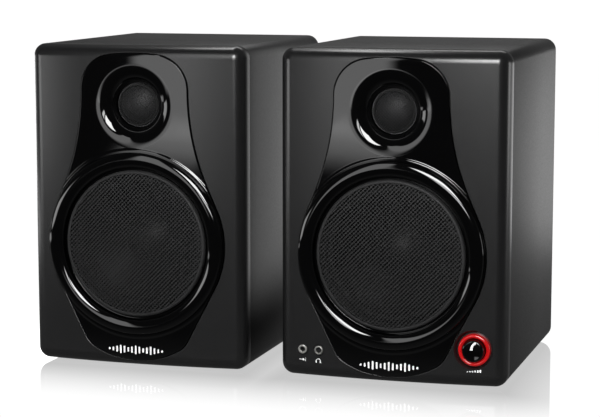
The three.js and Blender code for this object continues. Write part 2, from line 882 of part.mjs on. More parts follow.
function feet(side) {
  const group = new THREE.Group();
  const places = { front: 26, rear: 162 };
  for (const [end, y] of Object.entries(places)) {
    group.add(
      part(`${side}_foot_${end}_left`, foot(), MATERIALS.rubber, { x: -60, y }),
      part(`${side}_foot_${end}_right`, foot(), MATERIALS.rubber, { x: 60, y }),
    );
  }
  return group;
}

function terminals(side, place) {
  const group = new THREE.Group();
  group.add(part(`${side}_terminal_block`, terminalBlock(place), MATERIALS.plastic));
  const levers = { red: -LEVER.offset, black: LEVER.offset };
  for (const [colour, dx] of Object.entries(levers)) {
    const material = colour === "red" ? MATERIALS.red : MATERIALS.plastic;
    group.add(
      part(`${side}_terminal_lever_${colour}`, terminalLever(), material, {
        x: place.x + dx,
        y: place.face + LEVER_PIVOT_Y,
        z: place.z + LEVER.pivotZ,
        tilt: LEVER.tilt,
      }),
    );
  }
  return group;
}

// What both units have.
function unit(side, place) {
  const isRight = side === "right";
  const group = new THREE.Group();
  group.add(
    part(`${side}_cabinet`, cabinet(isRight), MATERIALS.vinyl),
    part(`${side}_baffle`, baffle(isRight), MATERIALS.satin),
    part(`${side}_fascia`, fascia(), MATERIALS.gloss),
    part(`${side}_port_tube`, portTube(), MATERIALS.plastic, { z: PORT_Z }),
    woofer(side),
    tweeter(side),
    feet(side),
    terminals(side, place),
  );
  return group;
}

function rightUnit() {
  const group = unit("right", RIGHT_TERMINALS);
  const m = MATERIALS;
  group.add(
    part("volume_knob", volumeKnob(), m.gloss, KNOB),
    part("volume_shaft", volumeShaft(), m.nickel, KNOB),
    part("volume_light_ring", lightRing(), m.light, KNOB),
    part("volume_potentiometer", potentiometer(), m.steel, KNOB),
    part("aux_jack", jack(), m.nickel, AUX),
    part("headphone_jack", jack(), m.nickel, PHONES),
    part("control_board", controlBoard(), m.board),
    part("amplifier_plate", amplifierPlate(), m.steel),
    part("amplifier_board", amplifierBoard(), m.board),
    part("transformer", transformer(), m.core),
    part("mains_inlet", mainsInlet(), m.plastic),
    part("power_switch_housing", powerSwitchHousing(), m.plastic),
    part("power_rocker", powerRocker(), m.plastic, {
      x: SWITCH.x,
      y: ROCKER.pivotY,
      z: SWITCH.z,
      tilt: ROCKER.tilt,
    }),
    part("rca_sockets", rcaSockets(), m.nickel),
    part("usb_socket", usbSocket(), m.nickel),
  );
  return group;
}

function leftUnit() {
  const group = unit("left", LEFT_TERMINALS);
  group.add(part("left_crossover", crossover(), MATERIALS.board));
  return group;
}

const pair = new THREE.Group();
const left = leftUnit();
const right = rightUnit();
left.position.x = -UNIT_SPACING / 2;
right.position.x = UNIT_SPACING / 2;
pair.add(left, right);

// the depth's middle is at y = 0
const extent = new THREE.Box3().setFromObject(pair);
const middleY = (extent.min.y + extent.max.y) / 2;
left.position.y = -middleY;
right.position.y = -middleY;

export default pair;
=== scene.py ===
"""Looks for a pair of powered desktop monitor speakers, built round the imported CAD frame.

Shapes are worked out in millimetres in each unit's own frame, as in the CAD source: x across from the
unit's middle, z up from the desk, y back from the line where the bowed front meets the sides.
"""

import json
import math

import bmesh
import bpy
import numpy as np
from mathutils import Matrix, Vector

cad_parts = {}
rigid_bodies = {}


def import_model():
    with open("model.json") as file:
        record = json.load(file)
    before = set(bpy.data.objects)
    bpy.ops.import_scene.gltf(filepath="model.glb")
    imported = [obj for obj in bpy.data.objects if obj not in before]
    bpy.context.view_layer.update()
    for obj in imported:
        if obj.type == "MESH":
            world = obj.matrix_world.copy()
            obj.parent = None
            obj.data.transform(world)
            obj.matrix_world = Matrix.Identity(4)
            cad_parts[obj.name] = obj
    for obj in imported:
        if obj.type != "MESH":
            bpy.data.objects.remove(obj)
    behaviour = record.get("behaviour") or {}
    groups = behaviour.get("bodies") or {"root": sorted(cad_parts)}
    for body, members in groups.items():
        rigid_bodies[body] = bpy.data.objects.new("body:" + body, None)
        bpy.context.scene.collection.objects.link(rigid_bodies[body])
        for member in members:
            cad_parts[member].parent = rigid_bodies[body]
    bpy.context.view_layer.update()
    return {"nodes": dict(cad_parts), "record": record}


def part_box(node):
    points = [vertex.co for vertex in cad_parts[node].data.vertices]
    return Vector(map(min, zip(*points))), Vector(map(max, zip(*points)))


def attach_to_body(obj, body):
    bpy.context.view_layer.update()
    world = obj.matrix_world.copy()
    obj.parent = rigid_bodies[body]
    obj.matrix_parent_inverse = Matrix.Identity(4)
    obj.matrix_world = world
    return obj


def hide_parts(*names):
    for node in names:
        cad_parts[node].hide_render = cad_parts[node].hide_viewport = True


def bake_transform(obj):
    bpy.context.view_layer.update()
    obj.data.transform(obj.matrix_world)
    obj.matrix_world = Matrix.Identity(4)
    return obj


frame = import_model()

MM = 0.001
SIDES = ("right", "left")

# ---- sizes shared with the CAD, in millimetres ----
HALF_WIDTH = 77.25
BOX_BOTTOM = 2.0
BOX_TOP = 222.0
MIDDLE_Z = (BOX_BOTTOM + BOX_TOP) / 2
HALF_HEIGHT = (BOX_TOP - BOX_BOTTOM) / 2
CORNER_RADIUS = 8.3
FRONT_BOW = 4.9
FRONT_FILLET = 8.4
BAFFLE_BACK = 12.0
CABINET_DEPTH = 176.0
WOOFER = (0.0, 87.0)
TWEETER = (0.0, 181.4)
KNOB = (56.3, 27.2)
AUX = (-60.4, 20.8)
PHONES = (-49.2, 20.8)
FASCIA_PROUD = 0.8
HORN_MOUTH = 29.2
HORN_THROAT = 15.0
HORN_THROAT_Y = 5.2
HORN_ROLL = 37.0  # radius of the roll off the face, before the flare steepens
HORN_FLARE_INSET = 4.0
BEAD_OUTER = 62.6
SHOULDER_RADIUS = 65.0
SHOULDER_RISE = 0.6
SPLIT_Z = 152.0  # where the fascia's two fans of faces meet
OPENING_GAP = 0.5  # between the fascia and the edge of the baffle's opening
OPENING_EDGE = 0.5  # radii of the two eased edges
FASCIA_EDGE = 0.35
PLATE_BACK = 178.3  # the amplifier plate's outer face
TERMINALS = {"right": (22, 116, PLATE_BACK + 5.9), "left": (0, 70, CABINET_DEPTH + 5.9)}
KNOB_FACE = 5.9  # radius of the knob's dished face
KNOB_CROWN = -7.3
INK = 0.08  # how far printed marks stand off their surface
SHARP = 35  # degrees: edges sharper than this stay crisp

# ---- the studio ----
REFLECTION = 0.62  # how much of the floor's look is mirror image, right beside a unit
REFLECTION_REACH = 0.10
FLOOR_NEAR = (0.03, 0.17)  # how bright the floor looks in reflections, ahead of and beside the units
FLOOR_FAR = 1.1  # and how much brighter well behind them
ROOM = (0.035, 0.12)  # how bright the room is in reflections, in front and behind
MIDDLE = (0.0, -0.09, 0.12)
# name: place, target, size, strength, soft edges
PANELS = {
    "card_front_left": ((-0.487, -1.59, 0.77), (-0.487, 0, 0.77), (0.485, 1.56), 2.6, (0.08, 0.05)),
    "card_foot": ((-0.487, -1.60, 0.002), (-0.487, -1.6, 1), (0.485, 0.95), 2.6, (0.08, 0.42)),
    "key_high": ((0.30, -1.52, 0.78), MIDDLE, (0.70, 0.62), 24, (0.06, 0.05)),
    "key_low": ((0.27, -1.60, 0.34), MIDDLE, (0.64, 0.20), 13, (0.08, 0.05)),
    "left_card": ((-1.03, -0.80, 0.13), (-0.07, -0.09, 0.13), (0.72, 0.30), 4.8, (0.16, 0.05)),
    "left_floor": ((-0.86, -0.12, 0.003), (-0.86, -0.12, 1), (0.50, 0.80), 2.4, (0.12, 0.16)),
    "right_side": ((1.1, 0.225, 0.15), (0.1, 0.225, 0.15), (0.46, 0.34), 3.5, (0.12, 0.05)),
    "overhead": ((-0.39, 0.40, 1.72), (-0.39, 0.40, 0), (0.22, 1.0), 12, (0.05, 0.2)),
    "back_left": ((-0.57, 0.62, 0.10), (-0.1, 0.0, 0.10), (0.6, 0.20), 2.2, (0.1, 0.03)),
    "back_high": ((0.0, 1.6, 1.9), (0.0, 0.1, 0.1), (1.6, 0.8), 3, (0.2, 0.2)),
    "gap": ((0.009, 0.02, 0.14), (-1, 0.02, 0.14), (0.20, 0.24), 0.8, (0.04, 0.05)),
}
KEYS = ("key_high", "key_low")


def unit_origin(side):
    """The unit frame's origin in the row frame, in metres."""
    low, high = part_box(side + "_cabinet")
    return Vector(((low.x + high.x) / 2, high.y - CABINET_DEPTH * MM, 0))


ORIGIN = {side: unit_origin(side) for side in SIDES}
BODY = {side: side + "_speaker" for side in SIDES}

# ---------------------------------------------------------------- materials


class Look:
    """A node material round one Principled BSDF, with object-space procedural textures."""

    def __init__(self, name, color, roughness, metallic=0.0, **inputs):
        self.material = bpy.data.materials.new(name)
        self.material.use_nodes = True
        self.tree = self.material.node_tree
        self.bsdf = self.tree.nodes["Principled BSDF"]
        self.color = color
        self.roughness = roughness
        self.height = None
        self.set("Base Color", (*color, 1))
        self.set("Roughness", roughness)
        self.set("Metallic", metallic)
        for key, value in inputs.items():
            self.set(key.replace("_", " ").title().replace("Ior", "IOR"), value)
        self.place = self.node("ShaderNodeTexCoord").outputs["Object"]

    def node(self, kind, **settings):
        made = self.tree.nodes.new(kind)
        for key, value in settings.items():
            setattr(made, key, value)
        return made

    def set(self, socket, value):
        self.bsdf.inputs[socket].default_value = value

    def link(self, output, socket):
        self.tree.links.new(output, socket)

    def stretched(self, scale):
        mapping = self.node("ShaderNodeMapping")
        mapping.inputs["Scale"].default_value = scale
        self.link(self.place, mapping.inputs["Vector"])
        return mapping.outputs["Vector"]

    def noise(self, size_mm, detail=3.0, stretch=None):
        """Cloudy noise whose blobs are about size_mm across."""
        texture = self.node("ShaderNodeTexNoise")
        texture.inputs["Scale"].default_value = 1 / (size_mm * MM)
        texture.inputs["Detail"].default_value = detail
        place = self.stretched(stretch) if stretch else self.place
        self.link(place, texture.inputs["Vector"])
        return texture.outputs["Fac"]

    def cells(self, size_mm):
        """Pebbled cells about size_mm across."""
        texture = self.node("ShaderNodeTexVoronoi")
        texture.inputs["Scale"].default_value = 1 / (size_mm * MM)
        self.link(self.place, texture.inputs["Vector"])
        return texture.outputs["Distance"]

    def bands(self, size_mm, direction):
        """Stripes about size_mm apart, across the given axis."""
        texture = self.node("ShaderNodeTexWave", bands_direction=direction)
        texture.inputs["Scale"].default_value = 0.314 / (size_mm * MM)
        texture.inputs["Distortion"].default_value = 0.2
        self.link(self.place, texture.inputs["Vector"])
        return texture.outputs["Fac"]

    def ramp(self, value, low, high, start=0.25, end=0.75, shape="LINEAR"):
        """low up to start, high from end, and a ramp between."""
        remap = self.node("ShaderNodeMapRange", interpolation_type=shape)
        for socket, number in zip(("From Min", "From Max", "To Min", "To Max"), (start, end, low, high)):
            remap.inputs[socket].default_value = number
        self.link(value, remap.inputs["Value"])
        return remap.outputs["Result"]

    def maths(self, operation, *values):
        made = self.node("ShaderNodeMath", operation=operation)
        for value, socket in zip(values, made.inputs):
            self.link(value, socket)
        return made.outputs[0]

    def emission(self, strength):
        made = self.node("ShaderNodeEmission")
        self.link(strength, made.inputs["Strength"])
        return made.outputs[0]

    def finish(self, shader):
        self.link(shader, self.tree.nodes["Material Output"].inputs["Surface"])
        return self.material

    def axes(self):
        """The object-space position's X, Y and Z."""
        split = self.node("ShaderNodeSeparateXYZ")
        self.link(self.place, split.inputs[0])
        return split.outputs

    def vary_roughness(self, fac, spread):
        value = self.ramp(fac, self.roughness - spread, self.roughness + spread)
        self.link(value, self.bsdf.inputs["Roughness"])
        return self

    def vary_color(self, fac, low, high):
        """Multiplies the base colour by a factor that runs from low to high."""
        value = self.ramp(fac, low, high)
        scale = self.node("ShaderNodeVectorMath", operation="SCALE")
        scale.inputs[0].default_value = self.color
        self.link(value, scale.inputs["Scale"])
        self.link(scale.outputs["Vector"], self.bsdf.inputs["Base Color"])
        return self

    def bump(self, fac, height_mm, strength=1.0):
        """Adds a layer of relief, height_mm deep."""
        bump = self.node("ShaderNodeBump")
        bump.inputs["Strength"].default_value = strength
        bump.inputs["Distance"].default_value = height_mm * MM
        self.link(fac, bump.inputs["Height"])
        if self.height:
            self.link(self.height, bump.inputs["Normal"])
        self.height = bump.outputs["Normal"]
        self.link(self.height, self.bsdf.inputs["Normal"])
        return self


def vinyl():
    look = Look("vinyl", (0.012, 0.012, 0.0123), 0.42, specular_ior_level=0.5)
    look.vary_color(look.noise(2.4), 0.8, 1.25)
    look.vary_roughness(look.noise(0.9), 0.07)
    look.bump(look.cells(0.75), 0.05, 0.5)
    return look.bump(look.noise(0.3, 2), 0.012, 0.5).material


def satin_plastic():
    look = Look("satin_plastic", (0.008, 0.008, 0.0082), 0.25, specular_ior_level=0.5)
    look.vary_color(look.noise(9), 0.92, 1.1)
    look.vary_roughness(look.noise(5), 0.012)
    return look.bump(look.noise(0.3, 2), 0.002, 0.4).material


def gloss_plastic():
    look = Look("gloss_plastic", (0.0007, 0.0007, 0.0008), 0.045)
    look.vary_roughness(look.noise(14), 0.02)
    look.vary_color(look.noise(20), 0.9, 1.2)
    return look.bump(look.noise(7, 1), 0.006, 0.3).material


def black_plastic():
    look = Look("black_plastic", (0.012, 0.012, 0.0125), 0.5)
    look.vary_color(look.noise(5), 0.85, 1.2)
    look.vary_roughness(look.noise(1.1), 0.07)
    return look.bump(look.cells(0.5), 0.02, 0.4).material


def red_plastic():
    look = Look("red_plastic", (0.42, 0.012, 0.012), 0.42)
    look.vary_color(look.noise(4), 0.85, 1.1)
    look.vary_roughness(look.noise(1), 0.06)
    return look.bump(look.cells(0.5), 0.015, 0.4).material


def white_plastic():
    look = Look("white_plastic", (0.62, 0.62, 0.6), 0.42)
    look.vary_color(look.noise(4), 0.92, 1.04)
    return look.bump(look.cells(0.5), 0.015, 0.3).material


def printed_ink():
    look = Look("printed_ink", (0.8, 0.8, 0.8), 0.5)
    look.vary_color(look.noise(0.7), 0.93, 1.05)
    return look.bump(look.noise(0.2), 0.004, 0.4).material


def grille_metal():
    look = Look("grille_metal", (0.017, 0.017, 0.0173), 0.5, specular_ior_level=0.15)
    look.vary_color(look.noise(3), 0.85, 1.2)
    look.vary_roughness(look.noise(0.8), 0.08)
    return look.bump(look.noise(0.15), 0.006, 0.5).material


def pressed_steel():
    look = Look("pressed_steel", (0.02, 0.021, 0.022), 0.42, 0.6)
    look.vary_color(look.noise(6), 0.85, 1.2)
    look.vary_roughness(look.noise(1.2), 0.08)
    return look.bump(look.noise(0.3), 0.01, 0.5).material


def plate_steel():
    look = Look("plate_steel", (0.014, 0.014, 0.0145), 0.5, 0.15)
    look.vary_color(look.noise(7), 0.85, 1.2)
    look.vary_roughness(look.noise(0.8), 0.08)
    look.bump(look.cells(0.45), 0.03, 0.6)
    return look.bump(look.noise(0.15), 0.008, 0.5).material


def magnet():
    look = Look("magnet", (0.035, 0.035, 0.037), 0.6, 0.4)
    look.vary_color(look.noise(2), 0.7, 1.3)
    look.vary_roughness(look.noise(0.9), 0.1)
    return look.bump(look.noise(0.5, 5), 0.03, 0.5).material


def cone_paper():
    look = Look("cone_paper", (0.004, 0.004, 0.0042), 0.4, specular_ior_level=0.15)
    fibres = look.noise(0.5, 5, (1, 0.3, 1.8))
    look.vary_color(fibres, 0.75, 1.3)
    look.vary_roughness(look.noise(1.5), 0.08)
    return look.bump(fibres, 0.04, 0.6).material


def copper_coil():
    look = Look("copper_coil", (0.45, 0.16, 0.05), 0.32, 0.9)
    look.vary_color(look.noise(1.5), 0.85, 1.1)
    return look.bump(look.bands(0.35, "Y"), 0.08, 0.8).material


def surround_rubber():
    look = Look("surround_rubber", (0.004, 0.004, 0.004), 0.55, specular_ior_level=0.15)
    look.vary_color(look.noise(3), 0.85, 1.25)
    look.vary_roughness(look.noise(1), 0.07)
    return look.bump(look.noise(0.3), 0.01, 0.5).material


def spider_cloth():
    look = Look("spider_cloth", (0.3, 0.17, 0.055), 0.85)
    weave = look.maths("MULTIPLY", look.bands(0.5, "X"), look.bands(0.5, "Z"))
    look.vary_color(weave, 0.75, 1.15)
    return look.bump(weave, 0.1, 0.8).material


def dome_silk():
    look = Look("dome_silk", (0.006, 0.006, 0.007), 0.5, sheen_weight=0.05)
    look.vary_color(look.noise(0.4), 0.8, 1.25)
    return look.bump(look.bands(0.3, "X"), 0.02, 0.5).material


def foot_rubber():
    look = Look("foot_rubber", (0.01, 0.01, 0.01), 0.75)
    look.vary_color(look.noise(2), 0.8, 1.3)
    return look.bump(look.noise(0.4), 0.03, 0.6).material


def nickel():
    look = Look("nickel", (0.5, 0.49, 0.47), 0.36, 1.0)
    look.vary_color(look.noise(2), 0.85, 1.05)
    look.vary_roughness(look.noise(0.8, 3, (1, 6, 1)), 0.06)
    return look.bump(look.noise(0.12, 2, (1, 8, 1)), 0.004, 0.4).material


def circuit_board():
    look = Look("circuit_board", (0.015, 0.075, 0.035), 0.38)
    look.vary_color(look.cells(2.2), 0.6, 1.35)
    return look.bump(look.cells(1.3), 0.04, 0.5).material


def transformer_core():
    look = Look("transformer_core", (0.09, 0.085, 0.08), 0.48, 0.5)
    look.vary_color(look.bands(0.5, "X"), 0.7, 1.15)
    return look.bump(look.bands(0.5, "X"), 0.06, 0.7).material


# Near-black matte: the tweeter guard's rim, and painted shade inside each jack's hole and in the shadowed gap
# round each jack.
def dark_void():
    look = Look("dark_void", (0.0015, 0.0015, 0.0015), 0.9)
    look.vary_color(look.noise(2), 0.6, 1.2)
    return look.bump(look.noise(0.6), 0.02, 0.4).material


def red_light():
    """Translucent acrylic lit from inside: brightest along its crest, deeper red down its flanks."""
    look = Look("red_light", (0.3, 0.003, 0.004), 0.16, coat_weight=0.4)
    facing = look.node("ShaderNodeLayerWeight")
    facing.inputs["Blend"].default_value = 0.35
    look.set("Emission Color", (1.0, 0.012, 0.014, 1))
    look.link(look.ramp(facing.outputs["Facing"], 0.2, 0.03, 0, 1), look.bsdf.inputs["Emission Strength"])
    look.vary_color(look.noise(3), 0.9, 1.1)
    return look.bump(look.noise(1.2), 0.02, 0.3).material


MATERIALS = {
    make.__name__: make()
    for make in (
        vinyl, satin_plastic, gloss_plastic, black_plastic, red_plastic, white_plastic, printed_ink,
        grille_metal, pressed_steel, plate_steel, magnet, cone_paper, copper_coil, surround_rubber,
        spider_cloth, dome_silk, foot_rubber, nickel, circuit_board, transformer_core, dark_void,
        red_light,
    )
}  # fmt: skip

# ---------------------------------------------------------------- meshes


def to_row(points, side):
    """Millimetres in a unit's frame to metres in the row frame."""
    return np.asarray(points, float) * MM + np.array(ORIGIN[side])


def build(name, side, points, faces, material, smooth_angle=SHARP):
    """An object from points in a unit's frame. Edges sharper than smooth_angle stay crisp."""
    mesh = bpy.data.meshes.new(name)
    mesh.from_pydata(to_row(points, side).tolist(), [], faces)
    mesh.materials.append(MATERIALS[material])
    mesh.validate()
    mesh.shade_smooth()
    mesh.set_sharp_from_angle(angle=math.radians(smooth_angle))
    piece = bpy.data.objects.new(name, mesh)
    bpy.context.scene.collection.objects.link(piece)
    return piece


def attach(piece, body, slot, *replaced):
    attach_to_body(piece, body)
    if replaced:
        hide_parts(*replaced)
    return piece


def rounded(corners, radius, steps=4, closed=False):
    """A polyline with each inner corner replaced by an arc-like curve reaching radius along its edges."""
    corners = [np.array(c, float) for c in corners]
    count = len(corners)
    out = []
    for i, here in enumerate(corners):
        if not closed and i in (0, count - 1):
            out.append(here)
            continue
        before, after = corners[i - 1], corners[(i + 1) % count]
        reach = min(radius, 0.45 * np.linalg.norm(before - here), 0.45 * np.linalg.norm(after - here))
        start = here + (before - here) / np.linalg.norm(before - here) * reach
        end = here + (after - here) / np.linalg.norm(after - here) * reach
        for k in range(steps + 1):
            t = k / steps
            out.append((1 - t) ** 2 * start + 2 * t * (1 - t) * here + t**2 * end)
    return np.array(out)


def turned(profile, centre, segments=128):
    """Points and faces of a profile of (radius, y) turned about an axis along y at centre (x, z)."""
    profile = np.asarray(profile, float)
    turn = np.linspace(0, 2 * math.pi, segments, endpoint=False)
    radius, depth = profile[:, :1], profile[:, 1:]
    x = centre[0] + radius * np.cos(turn)
    z = centre[1] + radius * np.sin(turn)
    points = np.stack([x, np.broadcast_to(depth, x.shape), z], axis=-1).reshape(-1, 3)
    faces = grid_faces(len(profile), segments)
    return points, faces


def grid_faces(rows, columns):
    """Quads between rows of points, each row a closed loop."""
    faces = []
    for r in range(rows - 1):
        for c in range(columns):
            d = (c + 1) % columns
            faces.append((r * columns + c, (r + 1) * columns + c, (r + 1) * columns + d, r * columns + d))
    return faces


def clean(piece):
    """Joins coinciding points and makes the normals face out."""
    mesh = bmesh.new()
    mesh.from_mesh(piece.data)
    bmesh.ops.remove_doubles(mesh, verts=mesh.verts, dist=1e-7)
    bmesh.ops.recalc_face_normals(mesh, faces=mesh.faces)
    mesh.to_mesh(piece.data)
    mesh.free()
    return piece


def lathe(name, side, profile, centre, material, segments=128, smooth_angle=SHARP):
    points, faces = turned(profile, centre, segments)
    piece = clean(build(name, side, points, faces, material))
    piece.data.set_sharp_from_angle(angle=math.radians(smooth_angle))
    return piece


def joined(name, side, parts, material, smooth_angle=SHARP):
    """One object from several (points, faces) pairs."""
    points, faces, start = [], [], 0
    for part_points, part_faces in parts:
        points.append(np.asarray(part_points, float))
        faces += [tuple(i + start for i in face) for face in part_faces]
        start += len(part_points)
    return clean(build(name, side, np.concatenate(points), faces, material, smooth_angle))


# ---------------------------------------------------------------- the bowed front


def bow(x):
    """The front's sweep across the unit, before the edge fillet."""
    return -FRONT_BOW * (1 - (x / HALF_WIDTH) ** 2)


def margin(x, z):
    """How far a point lies inside the front's rounded outline."""
    across = HALF_WIDTH - np.abs(x)
    up = HALF_HEIGHT - np.abs(z - MIDDLE_Z)
    in_corner = (across < CORNER_RADIUS) & (up < CORNER_RADIUS)
    round_corner = CORNER_RADIUS - np.hypot(CORNER_RADIUS - across, CORNER_RADIUS - up)
    return np.where(in_corner, round_corner, np.minimum(across, up))


def front(x, z):
    """The front surface's y: bowed across, with a fillet round its edge."""
    inside = np.clip(margin(x, z) / FRONT_FILLET, 0, 1)
    return bow(x) + FRONT_FILLET * (1 - np.sqrt(1 - (1 - inside) ** 2))


def arc(centre, radius, start, end, steps=60):
    angle = np.linspace(start, end, steps)
    return np.stack([centre[0] + radius * np.cos(angle), centre[1] + radius * np.sin(angle)], axis=-1)


def bezier(a, b, c, d, steps=90):
    t = np.linspace(0, 1, steps)[:, None]
    a, b, c, d = (np.array(p, float) for p in (a, b, c, d))
    return (1 - t) ** 3 * a + 3 * (1 - t) ** 2 * t * b + 3 * (1 - t) * t**2 * c + t**3 * d


def hourglass(grow=0.0):
    """The fascia's outline, grown outwards, anticlockwise from its lowest point."""
    top, crown, shoulder_radius, waist, waist_z = 216.6, 140.0, 24.0, 38.4, 191.7
    neck = (38.5, 148.6)
    belly, upper, lower = 63.1, math.radians(20.3), math.radians(-27.2)
    bowl, bottom, corner_radius = 63.0, 6.5, 15.9
    crown_z = top - crown
    shoulder_x = waist - shoulder_radius
    turn = math.acos(shoulder_x / (crown - shoulder_radius))
    shoulder_z = crown_z + (crown - shoulder_radius) * math.sin(turn)
    belly_r = belly + grow
    start = (belly_r * math.cos(upper), WOOFER[1] + belly_r * math.sin(upper))
    handle = (start[0] - 15.6 * math.sin(upper), start[1] + 15.6 * math.cos(upper))
    # the bowl's corner touches the straight flank below the belly and the bowl's own arc
    bowl_z = bottom + bowl
    flank = np.array([-math.sin(lower), math.cos(lower)])
    inner = (belly - corner_radius) * np.array([math.cos(lower), math.sin(lower)])
    inner[1] += WOOFER[1] - bowl_z
    half = inner @ flank
    down = half + math.sqrt(half**2 - (inner @ inner - (bowl - corner_radius) ** 2))
    corner = inner - down * flank
    low = math.atan2(corner[1], corner[0])
    right = np.concatenate([
        arc((0, bowl_z), bowl + grow, -math.pi / 2, low),
        arc((corner[0], corner[1] + bowl_z), corner_radius + grow, low, lower),
        arc(WOOFER, belly_r, lower, upper),
        bezier(start, handle, (neck[0] + grow, neck[1]), (waist + grow, waist_z)),
        arc((shoulder_x, shoulder_z), shoulder_radius + grow, 0, turn),
        arc((0, crown_z), crown + grow, turn, math.pi / 2),
    ])  # fmt: skip
    left = right[::-1] * (-1, 1)
    return even(np.concatenate([right, left[1:-1]]), 1440)


def even(loop, count):
    """A closed loop resampled to evenly spaced points."""
    closed = np.vstack([loop, loop[:1]])
    steps = np.hypot(*np.diff(closed, axis=0).T)
    keep = np.concatenate([[True], steps > 1e-9])
    closed = closed[keep]
    along = np.concatenate([[0], np.cumsum(np.hypot(*np.diff(closed, axis=0).T))])
    at = np.linspace(0, along[-1], count, endpoint=False)
    return np.stack([np.interp(at, along, closed[:, k]) for k in (0, 1)], axis=-1)


def outward(outline):
    """Each outline point's outward direction; outlines run anticlockwise."""
    along = np.roll(outline, -1, axis=0) - np.roll(outline, 1, axis=0)
    along /= np.linalg.norm(along, axis=1, keepdims=True)
    return np.stack([along[:, 1], -along[:, 0]], axis=-1)


def edge_rings(outline, radius, surface, sign):
    """Rings of a small quarter-round edge: from the outline on to the surface, as (points, y) pairs.

    sign is -1 for an edge that rounds inwards from its outline and 1 for an opening's edge.
    """
    away = outward(outline) * sign
    rings = []
    for angle in np.linspace(0, math.pi / 2, 6):
        at = outline + away * radius * (1 - math.cos(angle))
        rings.append((at, surface(*at.T) + radius * (1 - math.sin(angle))))
    return rings


def read(items, key, width, kind=np.float32):
    """A mesh property of many items as an array with width numbers each."""
    values = np.empty(len(items) * width, kind)
    items.foreach_get(key, values)
    return values.reshape(-1, width)


def use_surface_normals(piece, side, surface, tolerance=0.02):
    """Shades every point that lies on surface(x, z) with the surface's exact normal."""
    mesh = piece.data
    mesh.update()
    corners = read(mesh.corner_normals, "vector", 3).astype(float)
    x, y, z = ((read(mesh.vertices, "co", 3) - np.array(ORIGIN[side])) / MM).T
    step = 0.02
    slope_x = (surface(x + step, z) - surface(x - step, z)) / (2 * step)
    slope_z = (surface(x, z + step) - surface(x, z - step)) / (2 * step)
    exact = np.stack([slope_x, -np.ones_like(x), slope_z], axis=-1)
    exact /= np.linalg.norm(exact, axis=1, keepdims=True)
    on_surface = np.abs(y - surface(x, z)) < tolerance
    index = read(mesh.loops, "vertex_index", 1, np.int32)[:, 0]
    sizes = read(mesh.polygons, "loop_total", 1, np.int32)[:, 0]
    face_normal = np.repeat(read(mesh.polygons, "normal", 3), sizes, axis=0)
    wanted = exact[index]
    use = on_surface[index] & ((wanted * face_normal).sum(-1) > 0.75)
    corners[use] = wanted[use]
    mesh.normals_split_custom_set(corners.tolist())


FASCIA_OUTLINE = hourglass(0.0)
OPENING = hourglass(OPENING_GAP)


def along_ray(outer, inner, target):
    """Points between inner and outer whose margin from the front's outline is target."""
    low, high = np.zeros(len(inner)), np.ones(len(inner))
    for _ in range(40):
        middle = (low + high) / 2
        at = inner + (outer - inner) * middle[:, None]
        too_deep = margin(at[:, 0], at[:, 1]) > target
        low = np.where(too_deep, middle, low)
        high = np.where(too_deep, high, middle)
    return inner + (outer - inner) * ((low + high) / 2)[:, None]


def rectangle_outline(inset):
    width, height = HALF_WIDTH - inset, HALF_HEIGHT - inset
    radius = max(CORNER_RADIUS - inset, 0.05)
    corners = []
    for k, (sx, sz) in enumerate(((1, 1), (-1, 1), (-1, -1), (1, -1))):
        centre = (sx * (width - radius), MIDDLE_Z + sz * (height - radius))
        corners.append(arc(centre, radius, k * math.pi / 2, (k + 1) * math.pi / 2, 40))
    return even(np.concatenate(corners), 4000)


def matching_outer(inner):
    """For each inner outline point, the front's outer edge in the same direction from the middle."""
    centre = np.array([0, 112.0])
    outer = rectangle_outline(0) - centre
    angle = np.arctan2(outer[:, 1], outer[:, 0])
    order = np.argsort(angle)
    wanted = np.arctan2(inner[:, 1] - centre[1], inner[:, 0])
    radius = np.interp(wanted, angle[order], np.hypot(*outer.T)[order], period=2 * math.pi)
    return centre + np.stack([np.cos(wanted), np.sin(wanted)], axis=-1) * radius[:, None]


def baffle(side):
    """The satin moulding: its back, the opening's eased edge, the bowed face and the outer fillet."""
    inner = OPENING
    outer = matching_outer(inner)
    rows = []

    def row(points, depth):
        rows.append(np.stack([points[:, 0], depth, points[:, 1]], axis=-1))

    back = np.full(len(inner), BAFFLE_BACK)
    row(inner, back)
    row(inner, front(*inner.T) + 4)
    rings = edge_rings(inner, OPENING_EDGE, front, 1)
    for points, depth in rings:
        row(points, depth)
    start = rings[-1][0]
    fillet_margin = np.minimum(FRONT_FILLET, 0.86 * margin(*start.T))
    fillet_start = along_ray(outer, start, fillet_margin)
    for t in np.linspace(0, 1, 22)[1:] ** 1.5:
        at = start + (fillet_start - start) * t
        row(at, front(*at.T))
    first_angle = np.arccos(1 - fillet_margin / FRONT_FILLET)
    for t in np.linspace(0, 1, 17)[1:]:
        target = FRONT_FILLET * (1 - np.cos(first_angle * (1 - t)))
        at = along_ray(outer, start, target) if t < 1 else outer
        row(at, bow(at[:, 0]) + FRONT_FILLET * (1 - np.sin(first_angle * (1 - t))))
    row(outer, back)
    rows.append(rows[0])
    points = np.concatenate(rows)
    faces = grid_faces(len(rows), len(inner))
    piece = clean(build(side + "_baffle_moulding", side, points, faces, "satin_plastic"))
    if side == "right":
        cut_holes(piece)
    piece.data.set_sharp_from_angle(angle=math.radians(SHARP))
    use_surface_normals(piece, side, front)
    return attach(piece, BODY[side], "satin_plastic", side + "_baffle")


